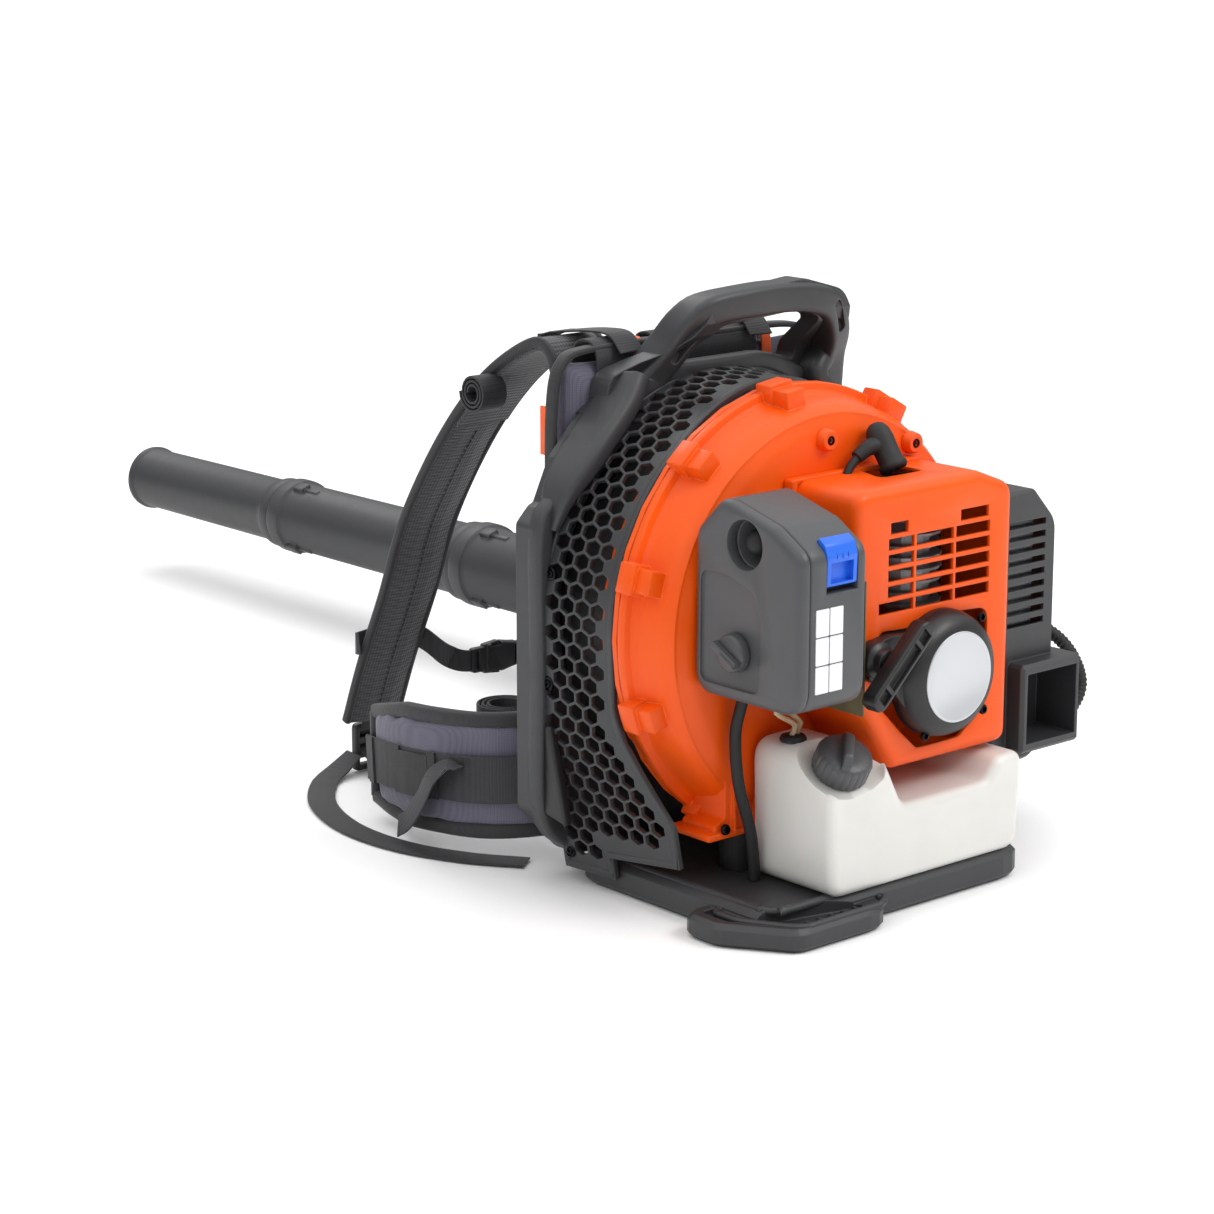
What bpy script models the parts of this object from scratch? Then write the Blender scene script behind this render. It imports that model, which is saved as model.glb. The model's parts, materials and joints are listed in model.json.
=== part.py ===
"""Backpack leaf blower, modelled as its separate pieces.

Metres. X is the wearer's right, Y is the way the wearer faces, Z is up.
The origin is on the floor, under the middle of the machine.
"""
import math

import bmesh
import bpy
from mathutils import Matrix, Vector

X_AXIS = Vector((1, 0, 0))
Y_AXIS = Vector((0, 1, 0))
Z_AXIS = Vector((0, 0, 1))

# ---------------------------------------------------------------- fits
TOUCH = 0.0003          # gap between pieces that rest on each other
RUNNING = 0.0008        # gap beside a piece that turns or slides
WALL = 0.003            # moulded plastic wall

# ---------------------------------------------------------------- base
BASE_LEFT = -0.152
BASE_RIGHT = 0.142
BASE_REAR = -0.205
DECK_TOP = 0.026
FOOTREST_TOP = 0.019

# ---------------------------------------------------------------- back frame
FRAME_FRONT = 0.056
FRAME_THICKNESS = 0.024
FRAME_REAR = FRAME_FRONT - FRAME_THICKNESS
FRAME_BOTTOM = 0.020
HANDLE_SECTION = 0.024
HANDLE_LEAN = 0.042     # how far the carrying handle stands behind the frame's plane

# ---------------------------------------------------------------- fan
FAN_RADIUS = 0.186      # rim of the fan housing
FAN_FLOOR_GAP = 0.013   # rim above the deck
FAN_Z = DECK_TOP + FAN_FLOOR_GAP + FAN_RADIUS
SEAM = -0.060           # plane where the two housing halves meet
HOUSING_FRONT = -0.010
HOUSING_REAR = -0.112
CRANK_OFFSET = 0.042    # crank axis to the right of the rim's centre
CRANK_DROP = 0.037      # and below it
CRANK_Z = FAN_Z - CRANK_DROP
IMPELLER_TIP_GAP = 0.010
IMPELLER_RADIUS = (FAN_RADIUS - 4 * WALL - IMPELLER_TIP_GAP
                   - math.hypot(CRANK_OFFSET, CRANK_DROP))
EYE_RADIUS = 0.062      # air intake in the front half
GRILLE_THICKNESS = 0.004

# ---------------------------------------------------------------- engine
ENGINE_FRONT = HOUSING_REAR - TOUCH
SHROUD_REAR = -0.190
SHROUD_LEFT = -0.052
SHROUD_RIGHT = 0.129
SHROUD_TOP = FAN_Z + 0.120
BORE_RADIUS = 0.020
FIN_RADIUS = BORE_RADIUS + 0.013
CYLINDER_Y = ENGINE_FRONT - max(FIN_RADIUS + 0.002, 0.035)
STROKE = 0.032
SHAFT_RADIUS = 0.006
WEB_RADIUS = 0.024
STARTER_RADIUS = 0.052
STARTER_REAR = -0.214

# ---------------------------------------------------------------- fuel tank
TANK_LEFT = -0.089
TANK_RIGHT = 0.128
TANK_REAR = -0.207
TANK_FRONT = ENGINE_FRONT - 0.002
TANK_SADDLE = 0.090
TANK_SHOULDER = 0.143
CAP_RADIUS = 0.0235
CAP_TILT = math.radians(32)

# ---------------------------------------------------------------- air filter
FILTER_LEFT = -0.153
FILTER_REAR = -0.232
FILTER_BOTTOM = 0.190
FILTER_TOP = 0.350
FILTER_RIGHT = -0.084
COVER_DEPTH = 0.010     # of the removable left cover

# ---------------------------------------------------------------- muffler
MUFFLER_LEFT = SHROUD_RIGHT + 0.004
MUFFLER_RIGHT = 0.208
MUFFLER_REAR = -0.168
MUFFLER_BOTTOM = 0.084
MUFFLER_TOP = 0.316

# ---------------------------------------------------------------- blower tube
TUBE_X = FAN_RADIUS + 0.064
TUBE_Z = 0.102
TUBE_RADIUS = 0.0400    # of the swivel pipe
TUBE_WALL = 0.0025
OUTLET_Y = -0.062
OUTLET_END = FAN_RADIUS - 0.014
ELBOW_BEND = TUBE_X - OUTLET_END
BELLOWS_RADIUS = TUBE_RADIUS + 0.006
CONDUIT_OFFSET = BELLOWS_RADIUS + 0.0096   # from the tube's axis to the conduit's
BELLOWS_LENGTH = 0.130
CUFF_LENGTH = 0.020
BELLOWS_START = OUTLET_Y + ELBOW_BEND + 0.006
CUFF_START = BELLOWS_START + BELLOWS_LENGTH
FRONT_START = CUFF_START + CUFF_LENGTH
CLAMP_START = FRONT_START + BELLOWS_LENGTH
YAW_Y = BELLOWS_START + BELLOWS_LENGTH / 2
PITCH_Y = FRONT_START + BELLOWS_LENGTH / 2
MIDDLE_START = 0.655
NOZZLE_START = 0.985
NOZZLE_END = 1.272
MIDDLE_RADIUS = TUBE_RADIUS - 0.002
NOZZLE_RADIUS = TUBE_RADIUS - 0.005
GRIP_Y = 0.430          # control grip along the swivel pipe

# ---------------------------------------------------------------- harness
PAD_REAR = FRAME_FRONT + 0.002
PAD_THICKNESS = 0.030
PAD_HALF_WIDTH = 0.140
PAD_TOP = 0.432
STRAP_X = 0.086
STRAP_WIDTH = 0.062
STRAP_THICKNESS = 0.012
BELT_HEIGHT = 0.104
BELT_THICKNESS = 0.018
WEBBING_WIDTH = 0.025
WEBBING_THICKNESS = 0.0016


# ================================================================ tools
def clear_scene():
    for old in list(bpy.data.objects):
        bpy.data.objects.remove(old, do_unlink=True)


def material(name, colour, roughness, metallic=0.0):
    """A Principled material; colour is an sRGB hex string."""
    made = bpy.data.materials.new(name)
    made.use_nodes = True
    shader = made.node_tree.nodes["Principled BSDF"]
    channels = [int(colour[i:i + 2], 16) / 255 for i in (0, 2, 4)]
    linear = [c / 12.92 if c <= 0.04045 else ((c + 0.055) / 1.055) ** 2.4 for c in channels]
    shader.inputs["Base Color"].default_value = (*linear, 1.0)
    shader.inputs["Roughness"].default_value = roughness
    shader.inputs["Metallic"].default_value = metallic
    return made


def solid(name, mesh_data, finish, bevel=0.0, crease_angle=35):
    """Turn a bmesh into a named object with a material and an optional Bevel."""
    bmesh.ops.recalc_face_normals(mesh_data, faces=mesh_data.faces)
    mesh = bpy.data.meshes.new(name)
    mesh_data.to_mesh(mesh)
    mesh_data.free()
    if finish:
        mesh.materials.append(finish)
    mesh.shade_smooth()
    mesh.set_sharp_from_angle(angle=math.radians(crease_angle))
    made = bpy.data.objects.new(name, mesh)
    bpy.context.collection.objects.link(made)
    if bevel:
        edge = made.modifiers.new("rounded edges", "BEVEL")
        edge.width = bevel
        edge.segments = 1
        edge.limit_method = "ANGLE"
        edge.angle_limit = math.radians(50)
    return made


def outline(*corners, steps=4):
    """Points of a polygon whose corners (u, v, radius) are rounded by arcs."""
    points = []
    count = len(corners)
    for i, (u, v, radius) in enumerate(corners):
        here = Vector((u, v))
        if radius <= 0:
            points.append(here)
            continue
        before = (Vector(corners[i - 1][:2]) - here)
        after = (Vector(corners[(i + 1) % count][:2]) - here)
        reach = radius / math.tan(before.angle(after) / 2)
        reach = min(reach, before.length * 0.45, after.length * 0.45)
        start = here + before.normalized() * reach
        end = here + after.normalized() * reach
        for k in range(steps + 1):
            t = k / steps
            points.append(start.lerp(here, t).lerp(here.lerp(end, t), t))
    return points


def circle(u, v, radius, count=24):
    turn = 2 * math.pi / count
    return [Vector((u + radius * math.cos(i * turn), v + radius * math.sin(i * turn)))
            for i in range(count)]


def place(axis, u, v, depth):
    """A point of an outline drawn across an axis, in the world."""
    if axis == "X":
        return Vector((depth, u, v))
    if axis == "Y":
        return Vector((u, depth, v))
    return Vector((u, v, depth))


def prism(name, points, axis, low, high, finish, bevel=0.0):
    """An outline extruded along a world axis from low to high."""
    shape = bmesh.new()
    rows = [[shape.verts.new(place(axis, p[0], p[1], depth)) for p in points]
            for depth in (low, high)]
    shape.faces.new(rows[0])
    shape.faces.new(list(reversed(rows[1])))
    for i in range(len(points)):
        j = (i + 1) % len(points)
        shape.faces.new((rows[0][i], rows[1][i], rows[1][j], rows[0][j]))
    return solid(name, shape, finish, bevel)


def frame_for(axis):
    """A matrix whose Z column is the axis."""
    return Vector(axis).to_track_quat("Z", "Y").to_matrix().to_4x4()


def turned(name, profile, centre, axis, finish, sides=20, bevel=0.0):
    """A profile of (radius, height) spun about an axis; a radius of 0 closes on the axis."""
    shape = bmesh.new()
    turn = Matrix.Translation(Vector(centre)) @ frame_for(axis)
    rings = []
    for radius, height in profile:
        if radius == 0:
            rings.append([shape.verts.new(turn @ Vector((0, 0, height)))])
        else:
            rings.append([shape.verts.new(turn @ Vector((p[0], p[1], height)))
                          for p in circle(0, 0, radius, sides)])
    pairs = list(zip(rings, rings[1:]))
    if len(rings[0]) > 1:
        pairs.append((rings[-1], rings[0]))
    for lower, upper in pairs:
        for i in range(sides if len(lower) + len(upper) > 2 else 0):
            j = (i + 1) % sides
            corners = [lower[i % len(lower)], lower[j % len(lower)],
                       upper[j % len(upper)], upper[i % len(upper)]]
            unique = list(dict.fromkeys(corners))
            shape.faces.new(unique)
    return solid(name, shape, finish, bevel)


def ring(name, inner, outer, low, high, centre, axis, finish, sides=20):
    profile = [(inner, low), (outer, low), (outer, high), (inner, high)]
    return turned(name, profile, centre, axis, finish, sides)


def disc(name, radius, low, high, centre, axis, finish, sides=20, bevel=0.0):
    profile = [(0, low), (radius, low), (radius, high), (0, high)]
    return turned(name, profile, centre, axis, finish, sides, bevel)


def smooth_path(points, spacing):
    """Points along a Catmull-Rom curve through the given ones, about one spacing apart."""
    knots = [Vector(p) for p in points]
    knots = [2 * knots[0] - knots[1]] + knots + [2 * knots[-1] - knots[-2]]
    route = [knots[1]]
    for a, b, c, d in zip(knots, knots[1:], knots[2:], knots[3:]):
        count = max(1, round((c - b).length / spacing))
        for k in range(1, count + 1):
            t = k / count
            route.append(0.5 * (2 * b + (c - a) * t + (2 * a - 5 * b + 4 * c - d) * t * t
                                + (3 * b - a - 3 * c + d) * t ** 3))
    return route


def section(width, thickness, crown=0.35):
    """A flat band's cross-section with eased corners."""
    w = width / 2
    t = thickness / 2
    ease = min(w, t) * crown
    return [Vector(p) for p in ((-w, -t + ease), (-w + ease, -t), (w - ease, -t), (w, -t + ease),
                                (w, t - ease), (w - ease, t), (-w + ease, t), (-w, t - ease))]


def swept(name, route, shape_points, side, finish, bore=None):
    """A cross-section carried along a route, its width along the side given, or level."""
    shape = bmesh.new()
    loops = {"outer": [], "bore": []}
    count = len(route)
    for i, here in enumerate(route):
        ahead = (route[min(i + 1, count - 1)] - route[max(i - 1, 0)]).normalized()
        level = ahead.cross(Z_AXIS) if side is None else Vector(side)
        across = (level - ahead * ahead.dot(level)).normalized()
        up = ahead.cross(across)
        loops["outer"].append([shape.verts.new(here + across * p[0] + up * p[1])
                               for p in shape_points])
        if bore:
            loops["bore"].append([shape.verts.new(here + across * p[0] + up * p[1])
                                  for p in bore])
    for rows in loops.values():
        for a, b in zip(rows, rows[1:]):
            for i in range(len(a)):
                j = (i + 1) % len(a)
                shape.faces.new((a[i], a[j], b[j], b[i]))
    for end in (0, -1):
        outer = loops["outer"][end]
        if bore:
            inner = loops["bore"][end]
            for i in range(len(outer)):
                j = (i + 1) % len(outer)
                shape.faces.new((outer[i], outer[j], inner[j], inner[i]))
        else:
            shape.faces.new(outer)
    return solid(name, shape, finish)


def band(name, points, width, thickness, side, finish, spacing=0.02):
    """A flat strap along a smooth route."""
    return swept(name, smooth_path(points, spacing), section(width, thickness), side, finish)


def cord(name, points, radius, finish, spacing=None):
    """A round cord along a smooth route, as a bevelled curve with filled caps."""
    route = smooth_path(points, spacing or radius * 5)
    curve = bpy.data.curves.new(name, "CURVE")
    curve.dimensions = "3D"
    curve.bevel_depth = radius
    curve.bevel_resolution = 2
    curve.use_fill_caps = True
    line = curve.splines.new("POLY")
    line.points.add(len(route) - 1)
    for point, here in zip(line.points, route):
        point.co = (*here, 1)
    curve.materials.append(finish)
    made = bpy.data.objects.new(name, curve)
    bpy.context.collection.objects.link(made)
    return made


def combine(base, tool, operation):
    """Cut a helper from a piece, or join it on, with a Boolean."""
    tool.hide_render = True
    tool.display_type = "WIRE"
    step = base.modifiers.new(operation.lower() + " " + tool.name, "BOOLEAN")
    step.operation = operation
    step.solver = "EXACT"
    step.object = tool


def cut(base, *tools):
    for tool in tools:
        combine(base, tool, "DIFFERENCE")


def join(base, *tools):
    for tool in tools:
        combine(base, tool, "UNION")


def box(name, low, high, finish=None, bevel=0.0):
    corners = ((low[0], low[1]), (high[0], low[1]), (high[0], high[1]), (low[0], high[1]))
    return prism(name, [Vector(c) for c in corners], "Z", low[2], high[2], finish, bevel)


def set_pivot(piece, point):
    """Move a piece's origin onto its joint without moving the piece."""
    point = Vector(point)
    piece.data.transform(Matrix.Translation(-point))
    piece.location = point
    return piece


# ================================================================ base and frame
def make_base(plastic):
    deck = prism("base_plate", outline(
        (BASE_LEFT, FRAME_REAR - 0.004, 0.020), (BASE_LEFT, BASE_REAR, 0.030),
        (BASE_RIGHT, BASE_REAR, 0.030), (BASE_RIGHT, FRAME_REAR - 0.004, 0.020)),
        "Z", 0, DECK_TOP, plastic, bevel=0.005)
    footrest = prism("helper_footrest", outline(
        (BASE_LEFT - 0.028, -0.128, 0.020), (BASE_LEFT - 0.028, -0.170, 0.024),
        (-0.142, -0.226, 0.020), (-0.040, -0.226, 0.030), (-0.020, -0.128, 0.010)),
        "Z", 0, FOOTREST_TOP, plastic, bevel=0.004)
    dish = prism("helper_footrest_dish", outline(
        (BASE_LEFT - 0.016, -0.140, 0.012), (BASE_LEFT - 0.016, -0.170, 0.016),
        (-0.138, -0.214, 0.012), (-0.060, -0.214, 0.020), (-0.060, BASE_REAR - 0.001, 0.004),
        (BASE_LEFT - 0.001, BASE_REAR + 0.020, 0.0), (BASE_LEFT - 0.001, -0.140, 0.0)),
        "Z", FOOTREST_TOP - 0.004, FOOTREST_TOP + 0.02, None)
    join(deck, footrest)
    cut(deck, dish)


def frame_outline():
    """The frame's plate: straight sides with a notch, arms round the fan, low under the handle."""
    half = FAN_RADIUS + 0.007
    arm = FAN_RADIUS + 0.018
    left = [(-0.150, FRAME_BOTTOM, 0.020), (-half, FRAME_BOTTOM + 0.045, 0.015),
            (-half, FAN_Z + 0.078, 0.008), (-half + 0.014, FAN_Z + 0.092, 0.008)]
    points = list(reversed(left))
    points += [(-u, v, radius) for u, v, radius in left]
    shape = outline(*points)
    arch = []
    start = math.atan2(0.098, half - 0.014)
    steps = 12
    for k in range(1, steps):
        angle = start + (math.pi - 2 * start) * k / steps
        height = FAN_Z + arm * math.sin(angle)
        if abs(arm * math.cos(angle)) < 0.060:
            height = FAN_Z + FAN_RADIUS + 0.003
        arch.append(Vector((arm * math.cos(angle), height)))
    return shape + arch


def make_frame(plastic):
    """Back frame: a pocketed plate with the carrying handle leaning back over the fan."""
    frame = prism("back_frame", frame_outline(), "Y", FRAME_REAR, FRAME_FRONT, plastic, bevel=0.003)
    pocket = turned("helper_frame_pocket", [(0, -0.02), (FAN_RADIUS - 0.020, -0.02),
                                            (FAN_RADIUS - 0.020, FRAME_THICKNESS - 0.005),
                                            (0, FRAME_THICKNESS - 0.005)],
                    (0, FRAME_REAR, FAN_Z), Y_AXIS, None, 40)
    top = FAN_Z + FAN_RADIUS
    low = top - 0.010
    hoop = prism("helper_handle", outline(
        (-0.118, low - 0.034, 0.006), (-0.112, top + 0.004, 0.020), (-0.062, top + 0.022, 0.016),
        (-0.030, top + 0.064, 0.016), (0.066, top + 0.073, 0.020), (0.112, top + 0.060, 0.024),
        (0.138, top + 0.010, 0.016), (0.128, low - 0.040, 0.006)),
        "Y", 0.0012, HANDLE_SECTION - 0.0012, None)
    gap = prism("helper_hand_gap", outline(
        (-0.062, top - 0.003, 0.008), (-0.036, top - 0.003, 0.004), (0.098, top - 0.003, 0.008),
        (0.088, top + 0.038, 0.010), (0.064, top + 0.048, 0.010), (-0.024, top + 0.042, 0.010)),
        "Y", -0.02, HANDLE_SECTION + 0.02, None)
    cut(hoop, gap)
    for piece in (hoop, gap):
        lean_back(piece, top + 0.003, top + 0.045)
    join(frame, hoop)
    cut(frame, pocket)


def lean_back(piece, start, end):
    """Slide a piece's points back with height, from the frame's plane to above the fan."""
    shape = bmesh.new()
    shape.from_mesh(piece.data)
    bends = 4
    for k in range(bends + 1):
        height = start + (end - start) * k / bends
        bmesh.ops.bisect_plane(shape, geom=shape.verts[:] + shape.edges[:] + shape.faces[:],
                               plane_co=(0, 0, height), plane_no=Z_AXIS)
    for vertex in shape.verts:
        t = min(1.0, max(0.0, (vertex.co.z - start) / (end - start)))
        vertex.co.y += FRAME_REAR - HANDLE_LEAN * t * t * (3 - 2 * t)
    shape.to_mesh(piece.data)
    shape.free()


def make_grille(plastic):
    """Air intake grille: a thin band wrapped round the left and the top of the fan."""
    outer = FAN_RADIUS - 0.001
    inner = outer - GRILLE_THICKNESS
    first = math.radians(62)
    last = math.radians(180)
    steps = 20
    foot_x = 0.034
    foot_z = DECK_TOP + 0.012
    outside = [Vector((outer * math.cos(a), FAN_Z + outer * math.sin(a)))
               for a in (first + (last - first) * k / steps for k in range(steps + 1))]
    inside = [Vector((inner * math.cos(a), FAN_Z + inner * math.sin(a)))
              for a in (last - (last - first) * k / steps for k in range(steps + 1))]
    knee_z = FAN_Z - 0.43 * FAN_RADIUS
    foot = [Vector((-outer + 0.004, knee_z)), Vector((-outer + foot_x, foot_z)),
            Vector((-inner + foot_x, foot_z)), Vector((-inner + 0.004, knee_z))]
    grille = prism("intake_grille", outside + foot + inside, "Y", SEAM + 0.008,
                   FRAME_REAR - TOUCH, plastic)
    flare = prism("helper_grille_foot", foot, "Y", -0.108, SEAM + 0.010, None)
    join(grille, flare)


# ================================================================ fan
def make_housing(orange, rubber):
    """Fan housing: two halves that clip together at a rim, with the outlet duct low on the right."""
    flange = FAN_RADIUS
    front_wall = FAN_RADIUS - 0.018
    rear_wall = FAN_RADIUS - 0.008
    depth = SEAM - HOUSING_REAR
    rear = turned("fan_housing_rear", [
        (0, depth), (rear_wall - 0.022, depth), (rear_wall - 0.006, depth - 0.012),
        (rear_wall, 0.012), (flange, 0.010), (flange, TOUCH), (rear_wall - WALL, TOUCH),
        (rear_wall - WALL, 0.012), (rear_wall - WALL - 0.006, depth - 0.014),
        (rear_wall - WALL - 0.022, depth - WALL), (0, depth - WALL)],
        (0, SEAM, FAN_Z), -Y_AXIS, orange, 32)
    shaft_hole = disc("helper_shaft_hole", 0.030, -0.02, 0.1, (CRANK_OFFSET, SEAM, CRANK_Z),
                      -Y_AXIS, None)
    foot = prism("helper_housing_foot", outline(
        (-0.118, DECK_TOP + 0.036, 0.004), (-0.040, DECK_TOP + 0.036, 0.004),
        (-0.040, FAN_Z - 0.100, 0), (-0.110, FAN_Z - 0.110, 0)),
        "Y", HOUSING_REAR + 0.004, SEAM - 0.012, None)
    start = math.sqrt((FAN_RADIUS - 0.040) ** 2 - (FAN_Z - TUBE_Z) ** 2)
    centre = (0, OUTLET_Y, TUBE_Z)
    duct = disc("helper_outlet", TUBE_RADIUS - 0.003, start, OUTLET_END - TOUCH, centre,
                X_AXIS, None)
    join(rear, foot, duct)
    wall_height = FAN_Z - math.sqrt(rear_wall ** 2 - 0.064 ** 2)
    buffer_top = min(DECK_TOP + 0.036, wall_height - 0.001) - TOUCH
    disc("vibration_buffer", 0.016, DECK_TOP + TOUCH, buffer_top,
         (-0.080, (HOUSING_REAR + SEAM) / 2 - 0.004, 0), Z_AXIS, rubber, 24)
    clip_angles = (22, 60, 98, 131, 164, 199, 236)
    for number, angle in enumerate(clip_angles):
        turn = math.radians(angle)
        tab = box("helper_clip_%d" % number, (flange - 0.012, -0.012, -0.010),
                  (flange + 0.006, 0.012, 0.010), None)
        tab.matrix_world = (Matrix.Translation((0, SEAM - 0.0075, FAN_Z))
                            @ Matrix.Rotation(-turn, 4, "Y") @ Matrix.Rotation(math.pi / 2, 4, "X"))
        tab.scale = (1, 1, 0.7)
        join(rear, tab)
    inside = rear_wall - WALL - 0.0005
    cavity = turned("helper_housing_cavity", [
        (0, -0.05), (inside, -0.05), (inside, 0.012), (inside - 0.006, depth - 0.0145),
        (inside - 0.022, depth - WALL - 0.0005), (0, depth - WALL - 0.0005)],
        (0, SEAM, FAN_Z), -Y_AXIS, None, 32)
    bore = disc("helper_outlet_bore", TUBE_RADIUS - 0.006, start - 0.01, OUTLET_END + 0.01,
                centre, X_AXIS, None)
    cut(rear, cavity, shaft_hole, bore)
    front = turned("fan_housing_front", [
        (0, HOUSING_FRONT - SEAM), (front_wall - 0.012, HOUSING_FRONT - SEAM),
        (front_wall, HOUSING_FRONT - SEAM - 0.012), (front_wall, 0.006), (flange, 0.005),
        (flange, 0), (front_wall - WALL, 0), (front_wall - WALL, HOUSING_FRONT - SEAM - 0.013),
        (front_wall - WALL - 0.011, HOUSING_FRONT - SEAM - WALL),
        (0, HOUSING_FRONT - SEAM - WALL)], (0, SEAM, FAN_Z), Y_AXIS, orange, 32)
    eye = disc("helper_intake_eye", EYE_RADIUS, HOUSING_FRONT - 0.03, HOUSING_FRONT + 0.03,
               (CRANK_OFFSET, 0, CRANK_Z), Y_AXIS, None, 28)
    room = disc("helper_outlet_room", TUBE_RADIUS - 0.003 + RUNNING, start, OUTLET_END + 0.02,
                centre, X_AXIS, None)
    cut(front, room, eye)


def make_impeller(grey):
    """Centrifugal fan: a hub and back disc with swept-back blades."""
    hub_front = HOUSING_FRONT - WALL - 0.010
    back = HOUSING_REAR + WALL + 0.010
    centre = (CRANK_OFFSET, 0, CRANK_Z)
    fan = turned("impeller", [
        (SHAFT_RADIUS + TOUCH, back), (IMPELLER_RADIUS, back), (IMPELLER_RADIUS, back + 0.003),
        (0.020, back + 0.004), (0.014, hub_front), (SHAFT_RADIUS + TOUCH, hub_front)],
        centre, Y_AXIS, grey, 32)
    blades = 12
    for number in range(blades):
        shape = bmesh.new()
        rows = []
        steps = 3
        for k in range(steps + 1):
            t = k / steps
            radius = 0.017 + (IMPELLER_RADIUS - 0.0175) * t
            angle = 2 * math.pi * number / blades - 0.75 * t
            height = hub_front - 0.004 - 0.010 * t
            half = 0.0012 / radius
            rows.append([[radius * math.cos(angle + s * half), radius * math.sin(angle + s * half), h]
                         for s, h in ((-1, back + 0.001), (1, back + 0.001), (1, height), (-1, height))])
        grid = [[shape.verts.new((centre[0] + x, h, centre[2] + z)) for x, z, h in row] for row in rows]
        for a, b in zip(grid, grid[1:]):
            for i in range(4):
                j = (i + 1) % 4
                shape.faces.new((a[i], a[j], b[j], b[i]))
        shape.faces.new(grid[0])
        shape.faces.new(grid[-1])
        join(fan, solid("helper_blade_%d" % number, shape, None))
    return set_pivot(fan, centre)


# ================================================================ engine
def make_crank(steel, alloy):
    """Pressed crankshaft in two halves; the crank pin between them is left open."""
    web_gap = 0.012
    front_end = HOUSING_FRONT - WALL - 0.016
    centre = (CRANK_OFFSET, 0, CRANK_Z)
    front = turned("crankshaft_front_half", [
        (0, CYLINDER_Y + web_gap / 2), (WEB_RADIUS, CYLINDER_Y + web_gap / 2),
        (WEB_RADIUS, CYLINDER_Y + web_gap / 2 + 0.007), (SHAFT_RADIUS, CYLINDER_Y + web_gap / 2 + 0.007),
        (SHAFT_RADIUS, front_end), (0, front_end)], centre, Y_AXIS, steel, 24)
    rear = turned("crankshaft_rear_half", [
        (0, CYLINDER_Y - web_gap / 2), (WEB_RADIUS, CYLINDER_Y - web_gap / 2),
        (WEB_RADIUS, CYLINDER_Y - web_gap / 2 - 0.007), (SHAFT_RADIUS, CYLINDER_Y - web_gap / 2 - 0.007),
        (SHAFT_RADIUS, SHROUD_REAR + 0.004), (0, SHROUD_REAR + 0.004)],
        centre, Y_AXIS, steel, 24)
    case_front = ENGINE_FRONT - 0.001
    case_rear = SHROUD_REAR + 0.016
    case = disc("crankcase", WEB_RADIUS + 0.006, case_rear, case_front, centre, Y_AXIS, alloy, 24)
    deck_z = CRANK_Z + WEB_RADIUS + 0.008
    neck = disc("helper_case_neck", BORE_RADIUS + 0.0055, CRANK_Z + 0.0135, deck_z,
                (CRANK_OFFSET, CYLINDER_Y, 0), Z_AXIS, None)
    bore = disc("helper_case_bore", BORE_RADIUS, CRANK_Z + 0.0063, deck_z + 0.01,
                (CRANK_OFFSET, CYLINDER_Y, 0), Z_AXIS, None, 16)
    well = disc("helper_case_well", WEB_RADIUS + 0.002, case_rear + 0.004, case_front - 0.004,
                centre, Y_AXIS, None)
    shaft_hole = disc("helper_case_shaft_hole", SHAFT_RADIUS + RUNNING, case_rear - 0.01,
                      case_front + 0.01, centre, Y_AXIS, None)
    join(case, neck)
    cut(case, well, bore, shaft_hole)
    set_pivot(front, centre)
    set_pivot(rear, centre)
    return deck_z


def make_cylinder(alloy, deck_z):
    """Finned cylinder with a closed head, and the piston and rod inside it."""
    wall = BORE_RADIUS + 0.004
    fins = 7
    fin = FIN_RADIUS
    low = deck_z + TOUCH
    fin_low = low + 0.020
    pitch = 0.0095
    profile = [(BORE_RADIUS, low), (wall, low), (wall, fin_low)]
    for k in range(fins):
        z = fin_low + k * pitch
        profile += [(fin, z), (fin, z + 0.0022), (wall, z + 0.0022)]
        if k < fins - 1:
            profile += [(wall, z + pitch)]
    top = fin_low + fins * pitch
    profile += [(wall - 0.004, top), (0, top), (0, top - 0.010), (BORE_RADIUS, top - 0.010)]
    turned("cylinder", profile, (CRANK_OFFSET, CYLINDER_Y, 0), Z_AXIS, alloy, 16)
    crown = top - 0.012
    turned("piston", [
        (0, crown), (BORE_RADIUS - TOUCH, crown), (BORE_RADIUS - TOUCH, crown - 0.026),
        (BORE_RADIUS - 0.003, crown - 0.026), (BORE_RADIUS - 0.003, crown - 0.005),
        (0, crown - 0.005)], (CRANK_OFFSET, CYLINDER_Y, 0), Z_AXIS, alloy, 16)
    rod_top = crown - 0.008
    rod_low = CRANK_Z + STROKE / 2 - 0.005
    prism("connecting_rod", outline(
        (CRANK_OFFSET - 0.006, rod_low, 0.005), (CRANK_OFFSET + 0.006, rod_low, 0.005),
        (CRANK_OFFSET + 0.004, rod_low + 0.014, 0.003), (CRANK_OFFSET + 0.0035, rod_top, 0.002),
        (CRANK_OFFSET - 0.0035, rod_top, 0.002), (CRANK_OFFSET - 0.004, rod_low + 0.014, 0.003),
        steps=2), "Y", CYLINDER_Y - 0.003, CYLINDER_Y + 0.003, alloy)
    return top


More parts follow.
